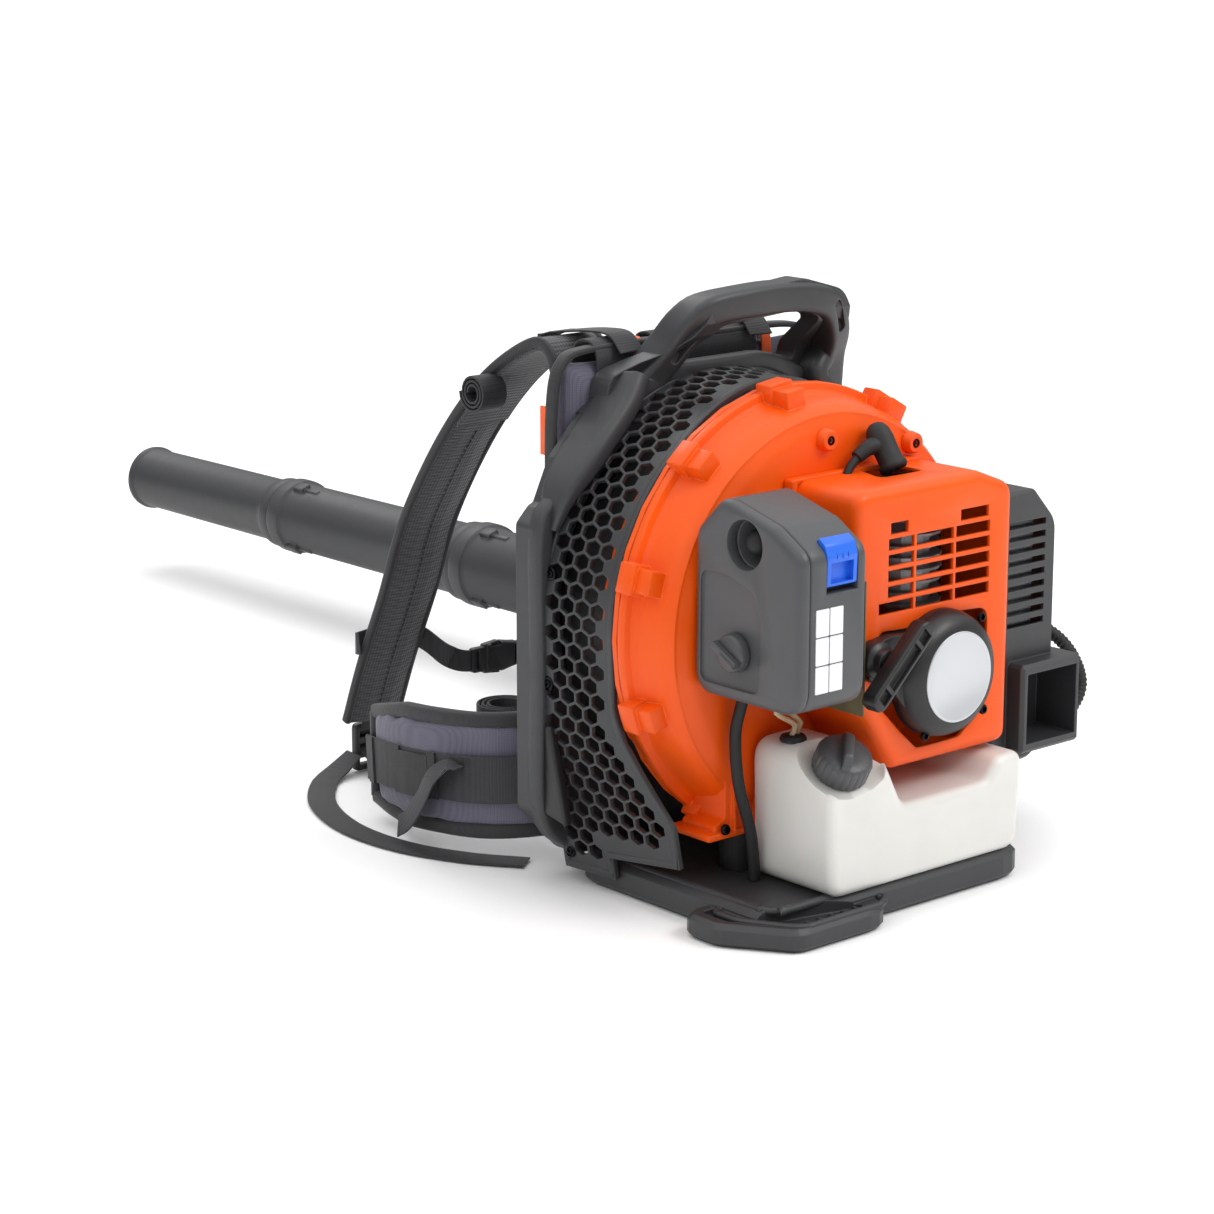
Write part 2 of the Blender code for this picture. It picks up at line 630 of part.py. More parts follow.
def make_shroud(orange):
    """Engine shroud: an orange cover with a slatted window and a starter opening."""
    low = TANK_SADDLE + 0.024
    profile = outline(
        (SHROUD_LEFT + 0.046, low, 0.010), (SHROUD_RIGHT, low, 0.010),
        (SHROUD_RIGHT, SHROUD_TOP - 0.012, 0.010), (SHROUD_RIGHT - 0.040, SHROUD_TOP, 0.010),
        (SHROUD_LEFT, SHROUD_TOP, 0.012), (SHROUD_LEFT, low + 0.070, 0.010))
    cover = prism("engine_shroud", profile, "Y", SHROUD_REAR, ENGINE_FRONT, orange, bevel=0.004)
    hollow = prism("helper_shroud_hollow", outline(
        (SHROUD_LEFT + 0.048, low + WALL, 0.008), (SHROUD_RIGHT - WALL, low + WALL, 0.008),
        (SHROUD_RIGHT - WALL, SHROUD_TOP - 0.012 - WALL, 0.008),
        (SHROUD_RIGHT - 0.041, SHROUD_TOP - WALL, 0.008),
        (SHROUD_LEFT + WALL, SHROUD_TOP - WALL, 0.010), (SHROUD_LEFT + WALL, low + 0.072, 0.008)),
        "Y", SHROUD_REAR + WALL, ENGINE_FRONT + 0.01, None)
    cut(cover, hollow)
    window_low = CRANK_Z + 0.056
    window_top = CRANK_Z + 0.132
    left = CRANK_OFFSET - 0.056
    right = CRANK_OFFSET + 0.058
    slats = 7
    pitch = (window_top - window_low) / slats
    cutters = []
    for k in range(slats):
        z = window_low + k * pitch
        shrink = 0.020 if k == slats - 1 else 0
        slot = box("helper_slot_%d" % k, (left + shrink, SHROUD_REAR - 0.01, z),
                   (right - shrink, SHROUD_REAR + WALL + 0.004, z + pitch * 0.62))
        cutters.append(slot)
    boot_hole = box("helper_boot_hole", (0.010, -0.150, SHROUD_TOP - 0.02),
                    (0.066, ENGINE_FRONT + 0.02, SHROUD_TOP + 0.02))
    starter_room = disc("helper_starter_room", STARTER_RADIUS + 0.003, -0.05, 0.05,
                        (CRANK_OFFSET, SHROUD_REAR, CRANK_Z), Y_AXIS, None, 28)
    cut(cover, *cutters, boot_hole, starter_room)


def make_starter(black, rope_white):
    """Recoil starter: housing, pulley, rope and T grip."""
    centre = (CRANK_OFFSET, 0, CRANK_Z)
    case = turned("starter_housing", [
        (0, STARTER_REAR), (STARTER_RADIUS - 0.012, STARTER_REAR),
        (STARTER_RADIUS - 0.003, SHROUD_REAR - 0.012), (STARTER_RADIUS, SHROUD_REAR - 0.006),
        (STARTER_RADIUS, SHROUD_REAR + 0.002), (STARTER_RADIUS - WALL, SHROUD_REAR + 0.002),
        (STARTER_RADIUS - WALL, SHROUD_REAR - 0.010), (STARTER_RADIUS - 0.014, STARTER_REAR + WALL),
        (0, STARTER_REAR + WALL)], centre, Y_AXIS, black, 28)
    guide_x = CRANK_OFFSET - STARTER_RADIUS - 0.026
    guide_z = CRANK_Z + 0.024
    guide_end = SHROUD_REAR - 0.021
    guide = turned("helper_rope_guide", [
        (0, guide_end), (0.010, guide_end), (0.015, SHROUD_REAR - 0.013),
        (0.015, SHROUD_REAR - 0.001), (0, SHROUD_REAR - 0.001)], (guide_x, 0, guide_z),
        Y_AXIS, None, 16)
    bridge = box("helper_guide_bridge", (guide_x, SHROUD_REAR - 0.011, guide_z - 0.013),
                 (guide_x + 0.032, SHROUD_REAR - 0.0015, guide_z + 0.009))
    passage = disc("helper_rope_passage", 0.0035, guide_end - 0.01, SHROUD_REAR - 0.005,
                   (guide_x, 0, guide_z), Y_AXIS, None, 12)
    side_way = box("helper_rope_way", (guide_x - 0.005, SHROUD_REAR - 0.0085, guide_z - 0.0045),
                   (guide_x + 0.036, SHROUD_REAR - 0.0035, guide_z + 0.0045))
    join(case, guide, bridge)
    cut(case, passage, side_way)
    pulley = turned("starter_pulley", [
        (SHAFT_RADIUS + RUNNING, SHROUD_REAR - 0.002), (0.026, SHROUD_REAR - 0.002),
        (0.026, SHROUD_REAR - 0.004), (0.020, SHROUD_REAR - 0.006),
        (0.026, SHROUD_REAR - 0.008), (0.026, SHROUD_REAR - 0.010),
        (SHAFT_RADIUS + RUNNING, SHROUD_REAR - 0.010)], centre, Y_AXIS, black, 16)
    set_pivot(pulley, centre)
    grip_y = SHROUD_REAR - 0.032
    disc("starter_rope", 0.0020, grip_y + 0.0075, SHROUD_REAR - 0.0065, (guide_x, 0, guide_z),
                Y_AXIS, rope_white, 10)
    bar = turned("starter_grip", [
        (0, -0.040), (0.0065, -0.040), (0.0095, -0.034), (0.0075, -0.008), (0.0075, 0.008),
        (0.0095, 0.034), (0.0065, 0.040), (0, 0.040)], (guide_x, grip_y, guide_z),
        (0.76, 0, 0.65), black, 16)
    set_pivot(bar, (guide_x, grip_y, guide_z))


def make_flywheel(alloy):
    """Flywheel with its magnet boss, between the crankcase and the starter."""
    centre = (CRANK_OFFSET, 0, CRANK_Z)
    rear = SHROUD_REAR + 0.0045
    wheel = turned("flywheel", [
        (SHAFT_RADIUS + TOUCH, rear), (0.040, rear), (0.040, rear + 0.009),
        (SHAFT_RADIUS + TOUCH, rear + 0.009)], centre, Y_AXIS, alloy, 32)
    return set_pivot(wheel, centre)


def make_plug(top, steel, black):
    """Spark plug in the head, with its rubber boot and ignition lead."""
    lean = Vector((-0.10, 0.62, 1)).normalized()
    seat = Vector((CRANK_OFFSET, CYLINDER_Y, top + 0.0020))
    turned("spark_plug", [(0, 0.003), (0.006, 0.003), (0.006, 0.010), (0.0035, 0.012),
                          (0.0035, 0.022), (0, 0.022)], seat, lean, steel, 12)
    turned("spark_plug_boot", [
        (0, 0.0045 + 0.018), (0.0038, 0.0225), (0.0038, 0.013), (0.0095, 0.013), (0.0105, 0.020),
        (0.0085, 0.036), (0.0105, 0.042), (0.0070, 0.050), (0, 0.052)], seat, lean, black, 16)


def make_muffler(steel, plastic):
    """Muffler box and its slotted guard with the square exhaust duct."""
    inset = 0.008
    box("muffler", (MUFFLER_LEFT + inset, MUFFLER_REAR + inset, MUFFLER_TOP - 0.130),
        (MUFFLER_RIGHT - 2 * inset, ENGINE_FRONT - inset, MUFFLER_TOP - 0.024), steel, 0.005)
    guard = prism("muffler_guard", outline(
        (MUFFLER_LEFT, MUFFLER_BOTTOM, 0.010), (MUFFLER_RIGHT - 0.020, MUFFLER_BOTTOM, 0.020),
        (MUFFLER_RIGHT, MUFFLER_BOTTOM + 0.040, 0.010), (MUFFLER_RIGHT, MUFFLER_TOP - 0.030, 0.020),
        (MUFFLER_RIGHT - 0.028, MUFFLER_TOP, 0.010), (MUFFLER_LEFT, MUFFLER_TOP, 0.006)),
        "Y", MUFFLER_REAR, ENGINE_FRONT - 0.001, plastic, bevel=0.003)
    hollow = prism("helper_guard_hollow", outline(
        (MUFFLER_LEFT + WALL, MUFFLER_BOTTOM + WALL, 0.008),
        (MUFFLER_RIGHT - 0.021, MUFFLER_BOTTOM + WALL, 0.018),
        (MUFFLER_RIGHT - WALL, MUFFLER_BOTTOM + 0.041, 0.008),
        (MUFFLER_RIGHT - WALL, MUFFLER_TOP - 0.032, 0.018),
        (MUFFLER_RIGHT - 0.030, MUFFLER_TOP - WALL, 0.008), (MUFFLER_LEFT + WALL, MUFFLER_TOP - WALL, 0)),
        "Y", MUFFLER_REAR + WALL, ENGINE_FRONT + 0.01, None)
    duct_low = (MUFFLER_LEFT + 0.018, MUFFLER_REAR - 0.018, MUFFLER_BOTTOM + 0.012)
    duct_high = (MUFFLER_RIGHT + 0.016, MUFFLER_REAR + 0.030, MUFFLER_BOTTOM + 0.088)
    duct = box("helper_duct", duct_low, duct_high, None, 0.003)
    inside = box("helper_duct_inside",
                 (duct_low[0] + 0.006, duct_low[1] - 0.01, duct_low[2] + 0.008),
                 (duct_high[0] - 0.006, duct_high[1] - 0.004, duct_high[2] - 0.008))
    cut(guard, hollow)
    join(guard, duct)
    slots = 9
    first = MUFFLER_TOP - 0.026
    pitch = 0.0105
    cutters = [box("helper_guard_slot_%d" % k,
                   (MUFFLER_LEFT + 0.016, MUFFLER_REAR - 0.01, first - k * pitch - 0.0055),
                   (MUFFLER_RIGHT - 0.014, MUFFLER_REAR + WALL + 0.003, first - k * pitch))
               for k in range(slots)]
    cut(guard, inside, *cutters)


# ================================================================ fuel tank
def make_tank(white, grey, black):
    """Hollow tank with a saddle under the engine, and a screw cap leaning out over one corner."""
    low = DECK_TOP + TOUCH
    front = TANK_FRONT
    shape = outline(
        (TANK_LEFT, low, 0.016), (TANK_RIGHT, low, 0.016), (TANK_RIGHT + 0.004, TANK_SADDLE + 0.020, 0.014),
        (TANK_RIGHT - 0.026, TANK_SADDLE + 0.018, 0.012), (TANK_RIGHT - 0.040, TANK_SADDLE, 0.012),
        (SHROUD_LEFT + 0.044, TANK_SADDLE, 0.012), (SHROUD_LEFT + 0.016, TANK_SHOULDER, 0.016),
        (TANK_LEFT - 0.003, TANK_SHOULDER, 0.018))
    tank = prism("fuel_tank", shape, "Y", TANK_REAR, front, white, bevel=0.006)
    inner = outline(
        (TANK_LEFT + WALL, low + WALL, 0.014), (TANK_RIGHT - WALL, low + WALL, 0.014),
        (TANK_RIGHT - WALL, TANK_SADDLE - WALL, 0.008), (SHROUD_LEFT + 0.040, TANK_SADDLE - WALL, 0.012),
        (SHROUD_LEFT + 0.012, TANK_SHOULDER - WALL - 0.002, 0.012),
        (TANK_LEFT + WALL, TANK_SHOULDER - WALL - 0.002, 0.014))
    hollow = prism("helper_tank_hollow", inner, "Y", TANK_REAR + 0.006, front - 0.006, None)
    lean = Vector((-0.12, -math.sin(CAP_TILT), math.cos(CAP_TILT))).normalized()
    corner = Vector(((TANK_LEFT + SHROUD_LEFT) / 2 + 0.010, TANK_REAR + 0.024, TANK_SHOULDER - 0.020))
    flat = disc("helper_tank_flat", 0.034, 0.0, 0.05, corner, lean, None)
    neck = disc("helper_tank_neck", CAP_RADIUS - 0.006, -0.016, 0.012, corner, lean, None)
    filler = disc("helper_tank_filler", CAP_RADIUS - 0.009, -0.030, 0.03, corner, lean, None)
    inner_flat = disc("helper_tank_inner_flat", 0.040, -0.004, 0.05, corner, lean, None)
    cut(hollow, inner_flat)
    cut(tank, flat, hollow)
    join(tank, neck)
    cut(tank, filler)
    cap = turned("fuel_cap", [
        (0, 0.0125), (CAP_RADIUS - 0.0055, 0.0125), (CAP_RADIUS - 0.0055, 0.001),
        (CAP_RADIUS, 0.001), (CAP_RADIUS, 0.018), (CAP_RADIUS - 0.002, 0.021), (0, 0.0225)],
        corner, lean, grey, 32)
    rib = box("helper_cap_grip", (-0.0215, -0.004, 0.018), (0.0215, 0.004, 0.031), None, 0.0015)
    rib.matrix_world = (Matrix.Translation(corner) @ frame_for(lean)
                        @ Matrix.Rotation(math.radians(60), 4, "Z"))
    join(cap, rib)
    set_pivot(cap, corner)
    grommet_at = Vector((TANK_LEFT + 0.016, front - 0.030, TANK_SHOULDER))
    return corner, lean, grommet_at


# ================================================================ air filter
def make_filter(grey, foam, blue, rubber, olive):
    """Air filter box: housing, element, removable left cover, knob, choke lever, primer bulb."""
    front = ENGINE_FRONT - 0.001
    parting = FILTER_LEFT + COVER_DEPTH
    side = outline(
        (front, FILTER_BOTTOM, 0.014), (front, FILTER_TOP - 0.030, 0.014),
        (front - 0.030, FILTER_TOP, 0.014), (FILTER_REAR + 0.030, FILTER_TOP - 0.016, 0.016),
        (FILTER_REAR, FILTER_TOP - 0.034, 0.012), (FILTER_REAR, FILTER_BOTTOM, 0.018))
    body = prism("filter_housing", side, "X", parting + TOUCH, FILTER_RIGHT, grey, bevel=0.002)
    tray = box("helper_filter_tray", (parting - 0.01, FILTER_REAR + 0.013, FILTER_BOTTOM + 0.032),
               (FILTER_RIGHT - 0.012, front - 0.012, FILTER_TOP - 0.062))
    primer_y = -0.170
    primer_z = FILTER_TOP - 0.034
    recess = disc("helper_primer_recess", 0.019, -0.03, 0.014, (parting, primer_y, primer_z),
                  X_AXIS, None, 24)
    lever_left = parting + 0.018
    lever_right = lever_left + 0.032
    slot = box("helper_choke_slot", (lever_left - RUNNING, FILTER_REAR - 0.01, FILTER_TOP - 0.066),
               (lever_right + RUNNING, FILTER_REAR + 0.011, FILTER_TOP + 0.01))
    cut(body, tray, recess, slot)
    cover = prism("filter_cover", side, "X", FILTER_LEFT, parting, grey, bevel=0.005)
    inside = box("helper_cover_inside",
                 (FILTER_LEFT + WALL + 0.001, FILTER_REAR + 0.012, FILTER_BOTTOM + 0.014),
                 (parting + 0.01, front - 0.012, FILTER_TOP - 0.064))
    cover_recess = disc("helper_cover_recess", 0.021, -0.03, 0.03, (FILTER_LEFT, primer_y, primer_z),
                        X_AXIS, None, 24)
    knob_y = -0.160
    knob_z = FILTER_BOTTOM + 0.040
    screw_hole = disc("helper_knob_hole", 0.0035, -0.01, 0.02, (FILTER_LEFT, knob_y, knob_z),
                      X_AXIS, None, 12)
    cut(cover, inside, cover_recess, screw_hole)
    box("filter_element", (FILTER_LEFT + WALL + 0.003, FILTER_REAR + 0.016, FILTER_BOTTOM + 0.062),
        (FILTER_RIGHT - 0.014, front - 0.016, FILTER_TOP - 0.068), foam, 0.002)
    knob = turned("filter_knob", [
        (0, -0.014), (0.013, -0.014), (0.0155, -0.010), (0.0155, -TOUCH), (0.0030, -TOUCH),
        (0.0030, COVER_DEPTH - 0.004), (0, COVER_DEPTH - 0.004)],
        (FILTER_LEFT, knob_y, knob_z), X_AXIS, grey, 24)
    set_pivot(knob, (FILTER_LEFT, knob_y, knob_z))
    primer_seat = parting + 0.014 - TOUCH
    turned("primer_bulb", [
        (0.0110, 0), (0.0118, 0.004), (0.0105, 0.011), (0.006, 0.016), (0, 0.0175),
        (0, 0.0155), (0.005, 0.014), (0.0090, 0.0100), (0.0100, 0.004), (0.0095, 0)],
        (primer_seat, primer_y, primer_z), -X_AXIS, rubber, 14)
    lever_y = FILTER_REAR + 0.0055
    pivot = (0, lever_y, FILTER_TOP - 0.058)
    lever = prism("choke_lever", outline(
        (lever_y - 0.0045, FILTER_TOP - 0.061, 0.002), (lever_y + 0.0045, FILTER_TOP - 0.061, 0.002),
        (lever_y + 0.0045, FILTER_TOP - 0.030, 0), (lever_y + 0.0040, FILTER_TOP - 0.024, 0.002),
        (lever_y - 0.0045, FILTER_TOP - 0.034, 0.002)),
        "X", lever_left, lever_right, blue, bevel=0.001)
    set_pivot(lever, pivot)
    carb_x = (SHROUD_LEFT + FILTER_RIGHT) / 2
    box("heat_shield", (carb_x + 0.008, SHROUD_REAR - 0.018, FILTER_BOTTOM - 0.018),
        (carb_x + 0.0095, front - 0.012, FILTER_TOP - 0.070), olive)
    box("carburettor", (FILTER_RIGHT + TOUCH, -0.180, FILTER_BOTTOM + 0.030),
        (carb_x + 0.008 - TOUCH, -0.135, FILTER_BOTTOM + 0.072), grey, 0.003)
    return (FILTER_LEFT, knob_y, knob_z), pivot, (primer_seat, primer_y, primer_z)


# ================================================================ blower tube
def make_tube(plastic, rubber, black, red):
    """Outlet elbow, two lengths of bellows with a middle cuff, and the three-piece tube."""
    at = (TUBE_X, 0, TUBE_Z)
    lead = 0.001
    bend = ELBOW_BEND - lead
    steps = 8
    route = [Vector((OUTLET_END, OUTLET_Y, TUBE_Z))]
    for k in range(steps + 1):
        a = math.pi / 2 * k / steps
        route.append(Vector((OUTLET_END + lead + bend * math.sin(a),
                             OUTLET_Y + bend * (1 - math.cos(a)), TUBE_Z)))
    route.append(Vector((TUBE_X, BELLOWS_START - TOUCH, TUBE_Z)))
    swept("outlet_elbow", route, circle(0, 0, TUBE_RADIUS, 16), Z_AXIS, plastic,
          bore=circle(0, 0, TUBE_RADIUS - 0.003, 16))
    ribs = 4
    for name, start in (("bellows_hose_rear", BELLOWS_START), ("bellows_hose_front", FRONT_START)):
        outer = []
        pitch = (BELLOWS_LENGTH - 2 * TOUCH) / (2 * ribs)
        for k in range(2 * ribs + 1):
            radius = BELLOWS_RADIUS if k % 2 else BELLOWS_RADIUS - 0.006
            outer.append((radius, start + TOUCH + k * pitch))
        profile = outer + [(r - 0.0025, y) for r, y in reversed(outer)]
        turned(name, profile, at, Y_AXIS, rubber, 16)
    ring("hose_cuff", TUBE_RADIUS - 0.0025, BELLOWS_RADIUS + 0.001, CUFF_START, FRONT_START, at,
         Y_AXIS, plastic)
    ring("hose_clamp", TUBE_RADIUS + TOUCH, BELLOWS_RADIUS + 0.002, CLAMP_START,
         CLAMP_START + 0.016, at, Y_AXIS, black)
    lug = 0.006             # how far a coupling lug stands out
    ring_gap = 0.020
    swivel = turned("swivel_pipe", [
        (TUBE_RADIUS - TUBE_WALL, CLAMP_START), (TUBE_RADIUS, CLAMP_START),
        (TUBE_RADIUS, MIDDLE_START - ring_gap), (TUBE_RADIUS + 0.004, MIDDLE_START - ring_gap),
        (TUBE_RADIUS + 0.004, MIDDLE_START - TOUCH), (TUBE_RADIUS - TUBE_WALL, MIDDLE_START - TOUCH)],
        at, Y_AXIS, plastic)
    middle = turned("middle_pipe", [
        (MIDDLE_RADIUS - TUBE_WALL, MIDDLE_START), (TUBE_RADIUS + 0.002, MIDDLE_START),
        (TUBE_RADIUS + 0.002, MIDDLE_START + 0.016), (MIDDLE_RADIUS, MIDDLE_START + 0.020),
        (MIDDLE_RADIUS - 0.001, NOZZLE_START - ring_gap),
        (MIDDLE_RADIUS + 0.003, NOZZLE_START - ring_gap),
        (MIDDLE_RADIUS + 0.003, NOZZLE_START - TOUCH),
        (MIDDLE_RADIUS - TUBE_WALL, NOZZLE_START - TOUCH)], at, Y_AXIS, plastic)
    nozzle = turned("nozzle_pipe", [
        (NOZZLE_RADIUS - TUBE_WALL, NOZZLE_START), (MIDDLE_RADIUS + 0.001, NOZZLE_START),
        (MIDDLE_RADIUS + 0.001, NOZZLE_START + 0.016), (NOZZLE_RADIUS, NOZZLE_START + 0.022),
        (NOZZLE_RADIUS - 0.001, NOZZLE_END - 0.006), (NOZZLE_RADIUS + 0.0015, NOZZLE_END - 0.003),
        (NOZZLE_RADIUS, NOZZLE_END), (NOZZLE_RADIUS - TUBE_WALL - 0.001, NOZZLE_END),
        (NOZZLE_RADIUS - TUBE_WALL - 0.001, NOZZLE_START + 0.022)], at, Y_AXIS, plastic)
    for pipe, radius, where in ((swivel, TUBE_RADIUS, MIDDLE_START), (middle, MIDDLE_RADIUS, NOZZLE_START)):
        for k in range(3):
            a = math.radians(100 + 120 * k)
            block = box("helper_lug_%s_%d" % (pipe.name, k), (-0.006, where - 0.034, radius - 0.002),
                        (0.006, where - 0.0195, radius + lug), None, 0.001)
            block.matrix_world = (Matrix.Translation((TUBE_X, 0, TUBE_Z))
                                  @ Matrix.Rotation(a, 4, "Y"))
            join(pipe, block)
    make_grip(plastic, black, red)


def make_grip(plastic, black, red):
    """Control grip that clamps round the swivel pipe, with trigger, cruise lever and stop switch."""
    at = (TUBE_X, 0, TUBE_Z)
    inner = TUBE_RADIUS + RUNNING
    outer = inner + 0.005
    grip = ring("control_grip", inner, outer, GRIP_Y - 0.018, GRIP_Y + 0.018, at, Y_AXIS, plastic)
    base_z = TUBE_Z + outer - 0.002
    handle = prism("helper_grip_handle", outline(
        (GRIP_Y - 0.016, base_z, 0.004), (GRIP_Y + 0.018, base_z, 0.004),
        (GRIP_Y + 0.034, base_z + 0.050, 0.020), (GRIP_Y + 0.040, base_z + 0.120, 0.012),
        (GRIP_Y + 0.006, base_z + 0.128, 0.010), (GRIP_Y - 0.002, base_z + 0.060, 0.020)),
        "X", TUBE_X - 0.016, TUBE_X + 0.016, None, bevel=0.005)
    pocket = box("helper_trigger_pocket", (TUBE_X - 0.0085, GRIP_Y + 0.020, base_z + 0.062),
                 (TUBE_X + 0.0085, GRIP_Y + 0.060, base_z + 0.112))
    slot = box("helper_lever_slot", (TUBE_X + 0.0105, GRIP_Y - 0.01, base_z + 0.085),
               (TUBE_X + 0.03, GRIP_Y + 0.036, base_z + 0.15))
    seat = box("helper_switch_seat", (TUBE_X - 0.007, GRIP_Y + 0.010, base_z + 0.118),
               (TUBE_X + 0.007, GRIP_Y + 0.030, base_z + 0.14))
    knob_boss = disc("helper_knob_boss", 0.010, inner + 0.002, outer + 0.006, (TUBE_X, GRIP_Y, TUBE_Z),
                     -X_AXIS, None, 16)
    tunnel = disc("helper_grip_tunnel", inner, GRIP_Y - 0.03, GRIP_Y + 0.03, at, Y_AXIS, None, 32)
    join(grip, handle, knob_boss)
    cut(grip, tunnel, pocket, slot, seat)
    knob = turned("clamp_knob", [
        (0, outer + 0.006 + TOUCH), (0.013, outer + 0.006 + TOUCH), (0.015, outer + 0.010),
        (0.013, outer + 0.020), (0, outer + 0.020)], (TUBE_X, GRIP_Y, TUBE_Z), -X_AXIS, black, 12)
    set_pivot(knob, (TUBE_X, GRIP_Y, TUBE_Z))
    trigger = prism("throttle_trigger", outline(
        (GRIP_Y + 0.0215, base_z + 0.108, 0.002), (GRIP_Y + 0.046, base_z + 0.110, 0.004),
        (GRIP_Y + 0.054, base_z + 0.072, 0.006), (GRIP_Y + 0.047, base_z + 0.066, 0.004),
        (GRIP_Y + 0.040, base_z + 0.092, 0.006)), "X", TUBE_X - 0.0075, TUBE_X + 0.0075, red,
        bevel=0.001)
    set_pivot(trigger, (TUBE_X, GRIP_Y + 0.026, base_z + 0.106))
    lever = prism("cruise_lever", outline(
        (GRIP_Y + 0.006, base_z + 0.090, 0.004), (GRIP_Y + 0.018, base_z + 0.090, 0.004),
        (GRIP_Y + 0.010, base_z + 0.136, 0.003), (GRIP_Y + 0.002, base_z + 0.136, 0.003)),
        "X", TUBE_X + 0.0105 + RUNNING, TUBE_X + 0.0155, black)
    set_pivot(lever, (TUBE_X + 0.013, GRIP_Y + 0.012, base_z + 0.096))
    switch = box("stop_switch", (TUBE_X - 0.0062, GRIP_Y + 0.0115, base_z + 0.1195),
                 (TUBE_X + 0.0062, GRIP_Y + 0.0285, base_z + 0.131), red, 0.001)
    set_pivot(switch, (TUBE_X, GRIP_Y + 0.020, base_z + 0.121))


# ================================================================ lines and cables
def make_lines(clear_tube, black, grommet_at):
    """Fuel lines, breather hose and throttle conduit."""
    top = grommet_at + Vector((0, 0, TOUCH))
    cord("fuel_line_supply", [
        top + Vector((0.003, 0, 0)), top + Vector((0.003, 0, 0.002)),
        top + Vector((0.004, -0.004, 0.014)),
        Vector((FILTER_RIGHT - 0.013, -0.152, FILTER_BOTTOM - 0.012)),
        Vector((FILTER_RIGHT - 0.012, -0.152, FILTER_BOTTOM - 0.002)),
        Vector((FILTER_RIGHT - 0.012, -0.152, FILTER_BOTTOM - TOUCH))], 0.0022, clear_tube, 0.009)
    cord("fuel_line_return", [
        top + Vector((-0.003, 0, 0)), top + Vector((-0.003, 0, 0.002)),
        top + Vector((-0.006, -0.008, 0.014)),
        Vector((FILTER_RIGHT - 0.034, -0.171, FILTER_BOTTOM - 0.012)),
        Vector((FILTER_RIGHT - 0.034, -0.172, FILTER_BOTTOM - 0.002)),
        Vector((FILTER_RIGHT - 0.034, -0.172, FILTER_BOTTOM - TOUCH))], 0.0022, clear_tube, 0.009)
    conduit_radius = 0.0060
    line_x = TUBE_X + 0.611 * CONDUIT_OFFSET
    line_z = TUBE_Z + 0.791 * CONDUIT_OFFSET
    route = [(0.120, -0.070, 0.052), (0.165, -0.066, 0.046), (TUBE_X - 0.035, -0.090, 0.046),
             (TUBE_X + 0.022, -0.070, 0.066), (line_x + 0.022, -0.030, 0.110),
             (line_x + 0.016, -0.004, 0.138),
             (line_x, BELLOWS_START - 0.006, line_z), (line_x, BELLOWS_START - TOUCH, line_z)]
    cord("throttle_conduit", route, conduit_radius, black, 0.018)
    cord("conduit_rear_run", [(line_x, BELLOWS_START, line_z), (line_x, CUFF_START, line_z)],
         conduit_radius, black, 0.02)
    cord("conduit_front_run", [(line_x, CUFF_START + TOUCH, line_z), (line_x, CLAMP_START, line_z)],
         conduit_radius, black, 0.02)
    cord("conduit_grip_run", [
        (line_x, CLAMP_START + TOUCH, line_z), (line_x, CLAMP_START + 0.006, line_z),
        (line_x, CLAMP_START + 0.034, line_z + 0.006),
        (TUBE_X + 0.024, GRIP_Y - 0.030, TUBE_Z + TUBE_RADIUS + 0.026),
        (TUBE_X + 0.006, GRIP_Y - 0.018, TUBE_Z + TUBE_RADIUS + 0.045),
        (TUBE_X + 0.002, GRIP_Y - 0.0112, TUBE_Z + TUBE_RADIUS + 0.0505)], conduit_radius - 0.001, black, 0.012)


